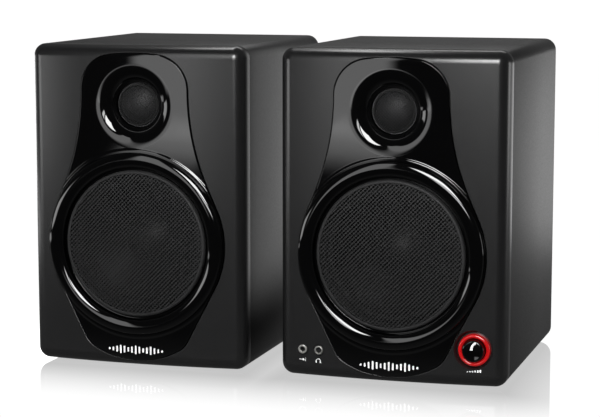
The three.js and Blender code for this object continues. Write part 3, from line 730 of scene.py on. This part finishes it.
def cut_holes(piece):
    """The knob's dish and the two jack holes, each with a softened mouth."""
    dish = [(0, -20), (13.4, -20), (13.4, -2.9), (12.6, -1.9), (12.3, -1.2)]
    dish += [(12.1, 0.4), (11.6, 0.9), (0, 0.9)]
    hole = [(0, -20), (4.1, -20), (4.1, -2.6), (3.6, -1.6), (3.4, -1), (3.4, 4.9), (0, 4.9)]
    tools = [lathe("cutter", "right", dish, KNOB, "satin_plastic", 96)]
    for centre in (AUX, PHONES):
        ahead = bow(centre[0]) + 2.2
        mouth = [(radius, y + ahead if -20 < y < 4 else y) for radius, y in hole]
        tools.append(lathe("cutter", "right", mouth, centre, "satin_plastic", 96))
    for tool in tools:
        change = piece.modifiers.new("cut", "BOOLEAN")
        change.object = tool
        change.operation = "DIFFERENCE"
        change.solver = "EXACT"
    graph = bpy.context.evaluated_depsgraph_get()
    result = bpy.data.meshes.new_from_object(piece.evaluated_get(graph))
    piece.modifiers.clear()
    piece.data = result
    for tool in tools:
        bpy.data.objects.remove(tool)


# ---------------------------------------------------------------- the gloss fascia


def horn_depth(x, z):
    """How far the tweeter's horn lies behind the face: a gentle roll that steepens into a flare."""
    distance = np.hypot(x - TWEETER[0], z - TWEETER[1])
    width = HORN_MOUTH - HORN_THROAT
    inside = np.clip(HORN_MOUTH - distance, 0, width)
    roll = inside**2 / (2 * HORN_ROLL)
    flare = HORN_THROAT_Y + FRONT_BOW + FASCIA_PROUD - width**2 / (2 * HORN_ROLL)
    past = np.clip((inside - HORN_FLARE_INSET) / (width - HORN_FLARE_INSET), 0, 1)
    return roll + flare * (1 - np.sqrt(1 - past**2))


def shoulder(x, z):
    """A low raised disc round the woofer, with an eased edge."""
    out = np.clip((np.hypot(x - WOOFER[0], z - WOOFER[1]) - SHOULDER_RADIUS) / 1.8 + 0.5, 0, 1)
    return -SHOULDER_RISE * (1 - out**2 * (3 - 2 * out))


def fascia_surface(x, z):
    return front(x, z) - FASCIA_PROUD + horn_depth(x, z) + shoulder(x, z)


def fan(start, centre, radius, fractions):
    """Rings of points from a loop in to a circle round centre, at fractions of the way."""
    arm = start - np.array(centre)
    rim = np.array(centre) + arm / np.hypot(*arm.T)[:, None] * radius
    return [start + (rim - start) * t for t in fractions]


def fascia(side):
    outline = FASCIA_OUTLINE
    edge = edge_rings(outline, FASCIA_EDGE, fascia_surface, -1)
    flat = edge[-1][0]
    above = flat[:, 1] >= SPLIT_Z
    half = np.interp(SPLIT_Z, *crossing_point(flat))
    divider_x = np.linspace(-half, half, 161)
    divider = np.stack([divider_x, np.full_like(divider_x, SPLIT_Z)], axis=-1)
    top = flat[above]
    top = top[np.argsort(np.arctan2(top[:, 1] - SPLIT_Z, top[:, 0]))]
    low = flat[~above]
    low = low[np.argsort((np.arctan2(low[:, 1] - WOOFER[1], low[:, 0]) - math.pi / 2) % (2 * math.pi))]
    top_loop = np.concatenate([divider, top])
    low_loop = np.concatenate([divider[::-1], low])

    top_rings = fan(top_loop, TWEETER, HORN_MOUTH + 0.5, np.linspace(0, 1, 14))
    rim = top_rings[-1] - np.array(TWEETER)
    rim /= np.hypot(*rim.T)[:, None]
    inside = (HORN_MOUTH - HORN_THROAT) * np.sin(np.linspace(0, math.pi / 2, 56))
    for step in inside:
        top_rings.append(np.array(TWEETER) + rim * (HORN_MOUTH - min(step, inside[-1] - 0.001)))
    low_rings = fan(low_loop, WOOFER, BEAD_OUTER + 0.2, 1 - np.linspace(1, 0, 40) ** 1.8)

    parts = []
    for rings in (top_rings, low_rings):
        points = [on_fascia(ring) for ring in rings]
        points.append(on_fascia(rings[-1]) + (0, 3.0, 0))
        parts.append((np.concatenate(points), grid_faces(len(points), len(rings[0]))))
    rim = [on_fascia(outline) + (0, 4.0, 0)]
    rim += [np.stack([at[:, 0], depth, at[:, 1]], axis=-1) for at, depth in edge]
    parts.append((np.concatenate(rim), grid_faces(len(rim), len(outline))))
    piece = joined(side + "_fascia_panel", side, parts, "gloss_plastic", 40)
    use_surface_normals(piece, side, fascia_surface, 0.01)
    bead = lathe(side + "_fascia_bead", side, bead_profile(), WOOFER, "gloss_plastic", 256, 50)
    attach(bead, BODY[side], "gloss_plastic")
    return attach(piece, BODY[side], "gloss_plastic", side + "_fascia")


def on_fascia(ring):
    return np.stack([ring[:, 0], fascia_surface(*ring.T), ring[:, 1]], axis=-1)


def crossing_point(outline):
    """The outline's right-hand half as (z, x), rising, for looking up its half width."""
    right = outline[(outline[:, 0] > 0) & (outline[:, 1] > 130) & (outline[:, 1] < 180)]
    right = right[np.argsort(right[:, 1])]
    return right[:, 1], right[:, 0]


def bead_profile():
    """A glossy bead with a broad flat crest, and the dark ledge inside it that the grille sits on."""
    quarter = np.linspace(0, math.pi / 2, 24)
    crest = (57.9, -8.2)
    outer = np.stack([crest[0] + 4.7 * np.cos(quarter), crest[1] + 2.3 * (1 - np.sin(quarter))], axis=-1)
    inner = np.stack([crest[0] - 5.5 * np.sin(quarter), crest[1] + 3.5 * (1 - np.cos(quarter))], axis=-1)
    ledge = rounded([inner[-1], (52.3, -1.2), (48.8, -1.2), (48.8, 1.0)], 0.4)
    return np.concatenate([[(62.6, 0.8)], outer, inner[1:], ledge[1:]])


# ---------------------------------------------------------------- perforated metal


def perforated(name, side, centre, radius, pitch, hole, height, thickness, material):
    """A domed sheet of oval holes on a diamond grid; height(r) gives its front.

    pitch is the spacing along the grid's two slanting rows and hole is an oval's (long, short) half sizes.
    """
    half = pitch / math.sqrt(2)
    count = int(radius / half) + 1
    centres = [
        (column * half, row * half)
        for row in range(-count, count + 1)
        for column in range(-count, count + 1)
        if (row + column) % 2 == 0 and math.hypot(column, row) * half < radius
    ]
    turn = np.arange(12) * math.pi / 6
    across, up = np.cos(turn), np.sin(turn)
    diamond = np.stack([across, up], axis=-1) * (half / (abs(across) + abs(up)))[:, None]
    # the ovals lean at 45 degrees, along one of the two rows
    slant = (across + up) / math.sqrt(2) * hole[0], (up - across) / math.sqrt(2) * hole[1]
    oval = np.stack([slant[0] - slant[1], slant[0] + slant[1]], axis=-1) / math.sqrt(2)
    loops = [(diamond, 0.0), (oval * 1.1, 0.0), (oval, thickness * 0.3), (oval, thickness)]
    points, faces = [], []
    for cx, cz in centres:
        start = len(points)
        for loop, back in loops:
            for dx, dz in loop:
                x, z = cx + dx, cz + dz
                points.append((centre[0] + x, height(math.hypot(x, z)) + back, centre[1] + z))
        for ring in range(len(loops) - 1):
            for k in range(12):
                n = (k + 1) % 12
                a, b = start + ring * 12, start + (ring + 1) * 12
                faces.append((a + k, b + k, b + n, a + n))
    return clean(build(name, side, np.array(points), faces, material, 60))


def woofer_dome(radius):
    return -6.5 + 1.7 * (radius / 48.3) ** 2


def guard_dome(radius):
    ball = 20.5
    return -1.3 + ball - math.sqrt(ball**2 - radius**2)


# ---------------------------------------------------------------- drivers


def woofer(side):
    mesh = perforated(
        side + "_grille_mesh", side, WOOFER, 48.7, 2.0, (0.9, 0.66), woofer_dome, 0.5, "grille_metal"
    )
    attach(mesh, BODY[side], "grille_metal", side + "_woofer_grille")
    rim = rounded([(47.9, -4.3), (48.1, -5.15), (49.6, -5.0), (50.4, -4.0), (50.4, -1.5), (49.5, -1.5)], 0.5)
    attach(lathe(side + "_grille_rim", side, rim, WOOFER, "grille_metal", 256), BODY[side], "grille_metal")

    cone_body = side + "_woofer_cone_assembly"
    turn = np.linspace(0, 1, 24)
    flare = np.stack([13.9 + 25.5 * turn, 25 - 17.4 * turn**0.92], axis=-1)
    shell = np.concatenate([flare, flare[::-1] + (0, 1.0), flare[:1]])
    cone = lathe(side + "_cone_shell", side, shell, WOOFER, "cone_paper", 160)
    attach(cone, cone_body, "cone_paper", side + "_woofer_cone")
    cap_turn = np.linspace(0, 1, 20)
    front_cap = np.stack([17.4 * cap_turn, 14.5 + 7.2 * cap_turn**2], axis=-1)
    cap = np.concatenate([front_cap, front_cap[::-1] * (0.97, 1) + (0, 0.8)])
    dust_cap = lathe(side + "_dust_cap_shell", side, cap, WOOFER, "cone_paper", 128)
    attach(dust_cap, cone_body, "cone_paper", side + "_woofer_dust_cap")

    surround(side)
    spider(side)
    coil = rounded([(12.8, 25.4), (13.5, 25.4), (13.5, 50), (12.8, 50)], 0.1, closed=True)
    coil = np.vstack([coil, coil[:1]])
    piece = lathe(side + "_coil_winding", side, coil, WOOFER, "copper_coil", 96)
    attach(piece, cone_body, "copper_coil", side + "_woofer_voice_coil")


def bent(piece, replaced):
    """Bakes a soft ring's placement into its points and hides the CAD node it replaces."""
    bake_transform(piece)
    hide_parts(replaced)


def surround(side):
    angle = np.linspace(0, math.pi, 25)
    outer = np.stack([43.2 + 3.7 * np.cos(angle), 5.5 - 3.7 * np.sin(angle)], axis=-1)
    inner = np.stack([43.2 + 3.1 * np.cos(angle), 5.5 - 3.1 * np.sin(angle)], axis=-1)
    leg = np.linspace(0, 1, 8)[1:, None]
    leg_front = outer[-1] + leg * (np.array([37.4, 7.0]) - outer[-1])
    leg_back = inner[-1] + leg * (np.array([37.2, 8.0]) - inner[-1])
    lip = [(49.7, 5.9), (49.7, 5.2)]
    loop = np.concatenate([lip[1:], outer, leg_front, leg_back[::-1], inner[::-1], lip])
    piece = lathe(side + "_surround_roll", side, loop, WOOFER, "surround_rubber", 160, 50)
    bent(piece, side + "_woofer_surround")


def spider(side):
    radius = np.linspace(34.4, 13.9, 61)
    depth = 27.4 + 2.0 * (34.4 - radius) / 20.5 + 0.22 * np.sin((34.4 - radius) * 2.1)
    sheet = np.stack([radius, depth], axis=-1)
    loop = np.concatenate([sheet, sheet[::-1] + (0, 0.45), sheet[:1]])
    piece = lathe(side + "_spider_cloth", side, loop, WOOFER, "spider_cloth", 128, 60)
    bent(piece, side + "_woofer_spider")


def tweeter(side):
    guard = perforated(
        side + "_guard_mesh", side, TWEETER, 12.9, 1.6, (0.58, 0.58), guard_dome, 0.35, "grille_metal"
    )
    attach(guard, BODY[side], "grille_metal", side + "_tweeter_guard")
    rim = rounded([(13.0, 3.7), (13.2, 3.2), (14.3, 4.2), (14.3, 5.2), (13.4, 5.2)], 0.3)
    attach(lathe(side + "_guard_rim", side, rim, TWEETER, "dark_void", 128), BODY[side], "grille_metal")
    turn = np.linspace(0, 1, 20)
    dome = np.stack([12.9 * np.sin(turn * 1.25) / math.sin(1.25), 2.2 + 5.4 * turn**2], axis=-1)
    loop = np.concatenate([dome, [(12.9, 16), (12.1, 16)], (dome[::-1] * (0.94, 1)) + (0, 0.5)])
    piece = lathe(side + "_dome_shell", side, loop, TWEETER, "dome_silk", 96)
    attach(piece, side + "_tweeter_diaphragm", "dome_silk", side + "_tweeter_dome")


# ---------------------------------------------------------------- volume control and jacks


def volume_control():
    angle = np.linspace(math.radians(205), math.radians(-25), 44)
    tube = np.stack([9.3 + 1.4 * np.cos(angle), -2.0 - 1.6 * np.sin(angle)], axis=-1)
    ring = np.concatenate([[(7.9, 0.5)], tube, [(10.8, 0.5), (7.9, 0.5)]])
    piece = lathe("volume_ring_glow", "right", ring, KNOB, "red_light", 128, 50)
    attach(piece, "right_speaker", "red_light", "volume_light_ring")
    turn = np.linspace(0, math.pi / 2, 12)
    side_curve = np.stack([KNOB_FACE + 1.3 * np.sin(turn), -6.2 - 1.1 * np.cos(turn)], axis=-1)
    across = np.linspace(0, KNOB_FACE, 14)
    crown = np.stack([across, knob_crown(across)], axis=-1)
    body = np.array([(7.35, -5.2), (7.5, -0.6), (3.3, -0.6), (3.3, -4.0), (0, -4.0)])
    profile = np.concatenate([crown, side_curve[1:], body])
    cap = lathe("volume_knob_cap", "right", profile, KNOB, "gloss_plastic", 128, 50)
    attach(cap, "volume_control", "gloss_plastic", "volume_knob")
    x, z = KNOB
    # A printed indicator whose white crescent shape is a painted highlight: the key light's reflection on the
    # dished cap.
    edge = arc((x + 4.4, z + 0.9), 6.2, math.radians(116), math.radians(182), 14)
    inner = arc((x + 4.9, z + 1.0), 4.9, math.radians(184), math.radians(122), 14)
    mark_and_glint = patch(np.concatenate([edge, inner]), lambda px, pz: knob_crown(math.hypot(px - x, pz - z)))
    attach(joined("volume_pointer", "right", [mark_and_glint], "printed_ink"), "volume_control", "gloss_plastic")


def knob_crown(radius):
    """The knob's shallow dished face."""
    return KNOB_CROWN + 0.55 * (1 - (radius / KNOB_FACE) ** 2)


def bar(x0, z0, x1, z1, surface):
    """A thin rounded bar lying on surface(x, z)."""
    corner = 0.45 * min(x1 - x0, z1 - z0)
    loop = rounded([(x0, z0), (x1, z0), (x1, z1), (x0, z1)], corner, 5, closed=True)
    return patch(loop, surface)


def patch(loop, surface):
    """A thin closed patch of printed ink on surface(x, z), from its outline."""
    count = len(loop)
    ahead = [(x, surface(x, z) - INK, z) for x, z in loop]
    behind = [(x, surface(x, z) + 0.02, z) for x, z in loop]
    faces = [tuple(range(count))[::-1]]
    faces += [(k, (k + 1) % count, (k + 1) % count + count, k + count) for k in range(count)]
    return np.array(ahead + behind), faces


def ribbon(path, width, surface):
    """A thin printed line of even width along a path."""
    path = np.asarray(path, float)
    along = np.gradient(path, axis=0)
    along /= np.linalg.norm(along, axis=1, keepdims=True)
    side_way = np.stack([-along[:, 1], along[:, 0]], axis=-1) * width / 2
    left, right = path + side_way, path - side_way
    points = [(x, surface(x, z) - INK, z) for x, z in np.concatenate([left, right])]
    faces = [(k, k + 1, len(path) + k + 1, len(path) + k) for k in range(len(path) - 1)]
    return np.array(points), faces


def front_at(x, z):
    return float(front(np.array(x), np.array(z)))


def face_at(x, z):
    return front_at(x, z) - FASCIA_PROUD


def marks(side):
    """A plain row of sound bars low on the fascia, and on the active unit a symbol by each control."""
    heights = (1.6, 2.6, 4.2, 5.8, 4.6, 3.0, 4.4, 6.0, 4.8, 3.2, 4.4, 5.8, 4.2, 2.6, 1.6)
    step, width, middle = 2.75, 1.25, 13.6
    first = -step * (len(heights) - 1) / 2
    bars = []
    for k, height in enumerate(heights):
        x = first + k * step
        bars.append(bar(x - width / 2, middle - height / 2, x + width / 2, middle + height / 2, face_at))
    piece = joined(side + "_fascia_mark", side, bars, "printed_ink")
    attach(piece, BODY[side], "gloss_plastic")
    if side == "left":
        return
    # rising bars under the knob
    x = KNOB[0] - 4.7
    steps = [bar(x + k * 1.7, 12.4, x + 1 + k * 1.7, 13.0 + k * 0.28, front_at) for k in range(6)]
    attach(joined("volume_symbol", "right", steps, "printed_ink"), "right_speaker", "satin_plastic")
    x, z = AUX[0], 13.8
    arrow = [
        ribbon([(x - 2.6, z), (x - 1.4, z), (x + 0.2, z)], 0.42, front_at),
        patch([(x + 0.1, z - 1.1), (x + 1.5, z), (x + 0.1, z + 1.1)], front_at),
        ribbon([(x + 2.1, z - 1.3), (x + 2.1, z), (x + 2.1, z + 1.3)], 0.42, front_at),
    ]
    attach(joined("aux_symbol", "right", arrow, "printed_ink"), "right_speaker", "satin_plastic")
    x = PHONES[0]
    band = arc((x, z - 0.3), 1.5, math.radians(-15), math.radians(195), 24)
    headphones = [
        ribbon(band, 0.35, front_at),
        bar(x - 1.9, z - 1.6, x - 1.1, z - 0.2, front_at),
        bar(x + 1.1, z - 1.6, x + 1.9, z - 0.2, front_at),
    ]
    attach(joined("headphone_symbol", "right", headphones, "printed_ink"), "right_speaker", "satin_plastic")


def jacks():
    """Each front socket: a thin nickel collar, a near-black ring of painted shade over its fixing ring for
    the shadowed gap in the baffle's hole, and a hole painted near-black as shade.
    """
    parts = {
        "collar": ("nickel", [(1.95, 1.6), (1.95, 0.2), (2.1, -0.1), (2.45, -0.1), (2.65, 0.2), (2.65, 1.6)]),
        "nut": ("dark_void", [(2.7, 2.2), (2.7, 0.5), (3.0, 0.1), (3.4, 0.0), (3.6, 0.4), (3.6, 2.2)]),
        "bore": ("dark_void", [(0, 3.2), (1.3, 3.0), (1.7, 1.2), (1.8, 0.3), (1.93, 0.3), (1.93, 3.6)]),
    }
    for name, centre in (("aux", AUX), ("headphone", PHONES)):
        ahead = bow(centre[0])
        for part, (material, corners) in parts.items():
            profile = rounded([(radius, depth + ahead) for radius, depth in corners], 0.12)
            piece = lathe(f"{name}_{part}", "right", profile, centre, material, 72)
            attach(piece, "right_speaker", "satin_plastic" if part == "nut" else "nickel")


# ---------------------------------------------------------------- rear, feet and kept CAD nodes


def port(side):
    back = CABINET_DEPTH + 0.3
    turn = np.linspace(0, math.pi / 2, 20)
    flare = np.stack([14.5 + 5.0 * (1 - np.cos(turn)), back - 6 + 8.2 * np.sin(turn)], axis=-1)
    flange = rounded([(19.8, back + 2.2), (22.3, back + 2.2), (23, back + 1.4), (23, back)], 0.5)
    tube = [(16.5, back), (16.5, 104), (14.5, 104)]
    profile = np.concatenate([tube[2:], flare, flange, tube])
    piece = lathe(side + "_port_flare", side, profile, (0, 182.0), "black_plastic", 128)
    attach(piece, BODY[side], "black_plastic", side + "_port_tube")


def feet(side):
    for end, y in (("front", 26.0), ("rear", 162.0)):
        for hand, x in (("left", -60.0), ("right", 60.0)):
            node = f"{side}_foot_{end}_{hand}"
            profile = rounded([(0, 0.0), (7.6, 0.0), (8.0, 0.5), (8.0, 1.8), (0, 1.8)], 0.3)
            turn = np.linspace(0, 2 * math.pi, 64, endpoint=False)
            px = x + profile[:, :1] * np.cos(turn)
            py = y + profile[:, :1] * np.sin(turn)
            pz = np.broadcast_to(profile[:, 1:], px.shape)
            points = np.stack([px, py, pz], axis=-1).reshape(-1, 3)
            faces = grid_faces(len(profile), 64)
            piece = clean(build(node + "_pad", side, points, faces, "foot_rubber"))
            attach(piece, BODY[side], "foot_rubber", node)


def screw(centre_x, centre_z, y, radius=2.4):
    """A domed screw head on a face at y, with a cross cut in it."""
    turn = np.linspace(0, 2 * math.pi, 32, endpoint=False)
    rings = [(1.0, 0.0), (1.0, 0.35), (0.92, 0.7), (0.75, 1.0), (0.5, 1.2), (0.2, 1.28)]
    points = []
    for share, height in rings:
        for a in turn:
            dx, dz = radius * share * math.cos(a), radius * share * math.sin(a)
            in_cross = min(abs(dx), abs(dz)) < 0.42 and max(abs(dx), abs(dz)) < 1.5
            points.append((centre_x + dx, y + (height - 0.75 if in_cross else height), centre_z + dz))
    points.append((centre_x, y + 0.4, centre_z))
    faces = grid_faces(len(rings), 32)
    last = (len(rings) - 1) * 32
    faces += [(last + k, last + (k + 1) % 32, len(points) - 1) for k in range(32)]
    return np.array(points), faces


def screws():
    plate = [screw(x, z, PLATE_BACK, 2.4) for x in (-48.5, 48.5) for z in (24.5, 80, 135.5)]
    attach(joined("amplifier_plate_screws", "right", plate, "nickel", 50), "right_speaker", "plate_steel")
    for side, (x, z, face) in TERMINALS.items():
        heads = [screw(x + dx, z - 1, face, 1.9) for dx in (-18, 18)]
        attach(joined(side + "_terminal_screws", side, heads, "nickel", 50), BODY[side], "black_plastic")


def socket_rings():
    """The coloured insulators round the two phono sockets' centre holes."""
    back = PLATE_BACK
    insulator = rounded([(1.75, back + 3), (1.75, back + 9), (3.4, back + 9), (3.4, back + 8.6)], 0.15)
    washer = rounded([(4.3, back + 0.9), (4.6, back + 0.9), (6.3, back + 0.8), (6.5, back + 0.05)], 0.2)
    for name, x, slot in (("red", -30, "red_plastic"), ("white", -10, "nickel")):
        for part, profile in (("insulator", insulator), ("washer", washer)):
            piece = lathe(f"phono_{part}_{name}", "right", profile, (x, 76), name + "_plastic", 64)
            attach(piece, "right_speaker", slot)


def rear_marks():
    """Plus and minus by the levers, and a bar and ring by the power rocker."""
    def behind(y):
        return lambda x, z: y + 0.1

    for side, (x, z, face) in TERMINALS.items():
        plus = [
            bar(x - 14.4, z - 8.3, x - 11.8, z - 7.7, behind(face)),
            bar(x - 13.4, z - 9.3, x - 12.8, z - 6.7, behind(face)),
        ]
        minus = [bar(x + 11.8, z - 8.3, x + 14.4, z - 7.7, behind(face))]
        piece = joined(side + "_polarity_marks", side, plus + minus, "printed_ink")
        attach(piece, BODY[side], "black_plastic")
    on = [bar(5.4, 57.6, 6.6, 61.6, behind(PLATE_BACK))]
    off = [ribbon(arc((6, 21.5), 1.9, 0, 2 * math.pi, 33), 0.7, behind(PLATE_BACK))]
    attach(joined("power_marks", "right", on + off, "printed_ink"), "right_speaker", "plate_steel")


def smooth_by_angle():
    """Geometry nodes that shade faces smooth and keep sharp edges crisp."""
    group = bpy.data.node_groups.new("smooth_by_angle", "GeometryNodeTree")
    group.interface.new_socket("Geometry", in_out="INPUT", socket_type="NodeSocketGeometry")
    group.interface.new_socket("Geometry", in_out="OUTPUT", socket_type="NodeSocketGeometry")
    nodes, links = group.nodes, group.links
    entry, leave = nodes.new("NodeGroupInput"), nodes.new("NodeGroupOutput")
    faces = nodes.new("GeometryNodeSetShadeSmooth")
    edges = nodes.new("GeometryNodeSetShadeSmooth")
    edges.domain = "EDGE"
    edges.inputs["Shade Smooth"].default_value = False
    angle = nodes.new("GeometryNodeInputMeshEdgeAngle")
    sharp = nodes.new("ShaderNodeMath")
    sharp.operation = "GREATER_THAN"
    sharp.inputs[1].default_value = math.radians(SHARP)
    links.new(angle.outputs["Unsigned Angle"], sharp.inputs[0])
    links.new(entry.outputs[0], faces.inputs["Geometry"])
    links.new(faces.outputs["Geometry"], edges.inputs["Geometry"])
    links.new(sharp.outputs[0], edges.inputs["Selection"])
    links.new(edges.outputs["Geometry"], leave.inputs[0])
    return group


def kept_nodes():
    """Gives the CAD nodes that stay in view their own finish, eased edges and smooth shading."""
    group = smooth_by_angle()
    slots = {entry["node"]: entry["material_slot"] for entry in frame["record"]["subparts"]}
    easing = {"vinyl": 0.5, "plate_steel": 0.25, "black_plastic": 0.25, "red_plastic": 0.3}
    for name, node in frame["nodes"].items():
        if node.hide_render:
            continue
        slot = slots[name]
        node.data.materials.clear()
        node.data.materials.append(MATERIALS[slot])
        weld = node.modifiers.new("weld", "WELD")
        weld.merge_threshold = 1e-6
        bevel = node.modifiers.new("ease", "BEVEL")
        bevel.width = easing.get(slot, 0.15) * MM
        bevel.segments = 2
        bevel.limit_method = "ANGLE"
        bevel.angle_limit = math.radians(40)
        smooth = node.modifiers.new("smooth", "NODES")
        smooth.node_group = group


for side in SIDES:
    baffle(side)
    fascia(side)
    woofer(side)
    tweeter(side)
    port(side)
    feet(side)
    marks(side)
volume_control()
jacks()
screws()
socket_rings()
rear_marks()
kept_nodes()

# ---------------------------------------------------------------- stage, light and camera


def stage_plane(name, corners, material):
    mesh = bpy.data.meshes.new(name)
    mesh.from_pydata(corners, [], [(0, 1, 2, 3)])
    mesh.materials.append(material)
    plane = bpy.data.objects.new(name, mesh)
    bpy.context.scene.collection.objects.link(plane)
    return plane


def soft_glow(name, strength, half, soft):
    """An emitter's material: full strength in the middle, fading to nothing over soft at its edges."""
    look = Look(name, (0, 0, 0), 1)
    fades = [
        look.ramp(look.maths("ABSOLUTE", look.axes()[axis]), 1, 0, reach - fade, reach, "SMOOTHSTEP")
        for axis, reach, fade in zip("XY", half, soft)
    ]
    one_sided = look.ramp(look.node("ShaderNodeNewGeometry").outputs["Backfacing"], strength, 0, 0, 1)
    glow = look.emission(look.maths("MULTIPLY", look.maths("MULTIPLY", *fades), one_sided))
    # added to see-through, so that the faded edges don't show as a dark frame
    added = look.node("ShaderNodeAddShader")
    look.link(glow, added.inputs[0])
    look.link(look.node("ShaderNodeBsdfTransparent").outputs[0], added.inputs[1])
    look.tree.nodes.remove(look.bsdf)
    return look.finish(added.outputs[0])


def panel(name, place, target, size, strength, soft):
    """A softbox: a glowing sheet that faces a target and that the camera doesn't see."""
    width, height = size[0] / 2, size[1] / 2
    corners = [(-width, -height, 0), (width, -height, 0), (width, height, 0), (-width, height, 0)]
    sheet = stage_plane(name, corners, soft_glow(name, strength, (width, height), soft))
    sheet.location = place
    sheet.rotation_mode = "QUATERNION"
    sheet.rotation_quaternion = (Vector(target) - Vector(place)).to_track_quat("Z", "Y")
    sheet.visible_camera = False
    sheet.visible_shadow = False
    return sheet


def keep_off_boxes(lamps):
    """The boxes take no light from these: seen from behind, their tops would show nothing but glare."""
    boxes = bpy.data.collections.new("boxes")
    for made in bpy.data.objects:
        if "cabinet" in made.name:
            boxes.objects.link(made)
    for member in boxes.collection_objects:
        member.light_linking.link_state = "EXCLUDE"
    for lamp in lamps:
        lamp.light_linking.receiver_collection = boxes


def footprint_distance(look, side):
    """How far a floor point lies from a unit's footprint, in metres."""
    low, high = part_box(side + "_baffle")
    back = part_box(side + "_cabinet")[1].y
    centre = ((low.x + high.x) / 2, (low.y + back) / 2, 0)
    half = ((high.x - low.x) / 2, (back - low.y) / 2, 1)
    value = look.place
    steps = (("SUBTRACT", centre), ("ABSOLUTE", None), ("SUBTRACT", half), ("MAXIMUM", (0, 0, 0)))
    for operation, other in steps:
        step = look.node("ShaderNodeVectorMath", operation=operation)
        look.link(value, step.inputs[0])
        if other:
            step.inputs[1].default_value = other
        value = step.outputs[0]
    length = look.node("ShaderNodeVectorMath", operation="LENGTH")
    look.link(value, length.inputs[0])
    return length.outputs["Value"]


def floor_material():
    """White to the camera, with a mirror image that fades away from the units; dim to reflections."""
    look = Look("floor", (1, 1, 1), 0.0, 1.0)
    camera_ray = look.node("ShaderNodeLightPath").outputs["Is Camera Ray"]
    nearest = look.maths("MINIMUM", *(footprint_distance(look, side) for side in SIDES))
    fade = look.ramp(nearest, REFLECTION, 0, -0.05, REFLECTION_REACH, "SMOOTHSTEP")
    depth = look.axes()["Y"]
    near = look.ramp(depth, *FLOOR_NEAR, -0.25, 0.0, "SMOOTHSTEP")
    far = look.ramp(depth, 0, FLOOR_FAR, 0.42, 0.68, "SMOOTHSTEP")
    glow = look.node("ShaderNodeMix")
    look.link(camera_ray, glow.inputs["Factor"])
    look.link(look.maths("ADD", near, far), glow.inputs["A"])
    glow.inputs["B"].default_value = 1.02
    mix = look.node("ShaderNodeMixShader")
    look.link(look.maths("MULTIPLY", fade, camera_ray), mix.inputs["Fac"])
    look.link(look.emission(glow.outputs["Result"]), mix.inputs[1])
    look.link(look.bsdf.outputs[0], mix.inputs[2])
    return look.finish(mix.outputs[0])


def world():
    """White to the camera and in the floor's mirror image, and dim studio dark for everything else."""
    made = bpy.data.worlds.new("studio")
    made.use_nodes = True
    nodes, links = made.node_tree.nodes, made.node_tree.links
    path = nodes.new("ShaderNodeLightPath")
    seen = nodes.new("ShaderNodeMath")
    seen.operation = "MAXIMUM"
    links.new(path.outputs["Is Camera Ray"], seen.inputs[0])
    links.new(path.outputs["Is Singular Ray"], seen.inputs[1])
    split = nodes.new("ShaderNodeSeparateXYZ")
    links.new(nodes.new("ShaderNodeTexCoord").outputs["Generated"], split.inputs[0])
    dim = nodes.new("ShaderNodeMapRange")
    for socket, number in zip(("From Min", "From Max", "To Min", "To Max"), (-0.3, 0.3, *ROOM)):
        dim.inputs[socket].default_value = number
    links.new(split.outputs["Y"], dim.inputs["Value"])
    mix = nodes.new("ShaderNodeMix")
    mix.inputs["B"].default_value = 1.05
    links.new(seen.outputs[0], mix.inputs["Factor"])
    links.new(dim.outputs["Result"], mix.inputs["A"])
    links.new(mix.outputs["Result"], nodes["Background"].inputs["Strength"])
    nodes["Background"].inputs["Color"].default_value = (1, 1, 1, 1)
    bpy.context.scene.world = made


def camera():
    """A long lens a little to the right and above."""
    data = bpy.data.cameras.new("camera")
    data.lens = 114.43
    data.sensor_width = 36
    data.clip_end = 20
    made = bpy.data.objects.new("camera", data)
    place, target = Vector((0.3915, -1.2907, 0.2869)), Vector((0.0266, -0.08955, 0.1154))
    made.location = place
    made.rotation_euler = (target - place).to_track_quat("-Z", "Y").to_euler()
    bpy.context.scene.collection.objects.link(made)
    bpy.context.scene.camera = made


stage_plane("floor", [(-6, -6, 0), (6, -6, 0), (6, 6, 0), (-6, 6, 0)], floor_material())
panels = {name: panel(name, *values) for name, values in PANELS.items()}
keep_off_boxes([panels[name] for name in KEYS])
world()
camera()
bpy.context.scene.view_settings.view_transform = "Standard"
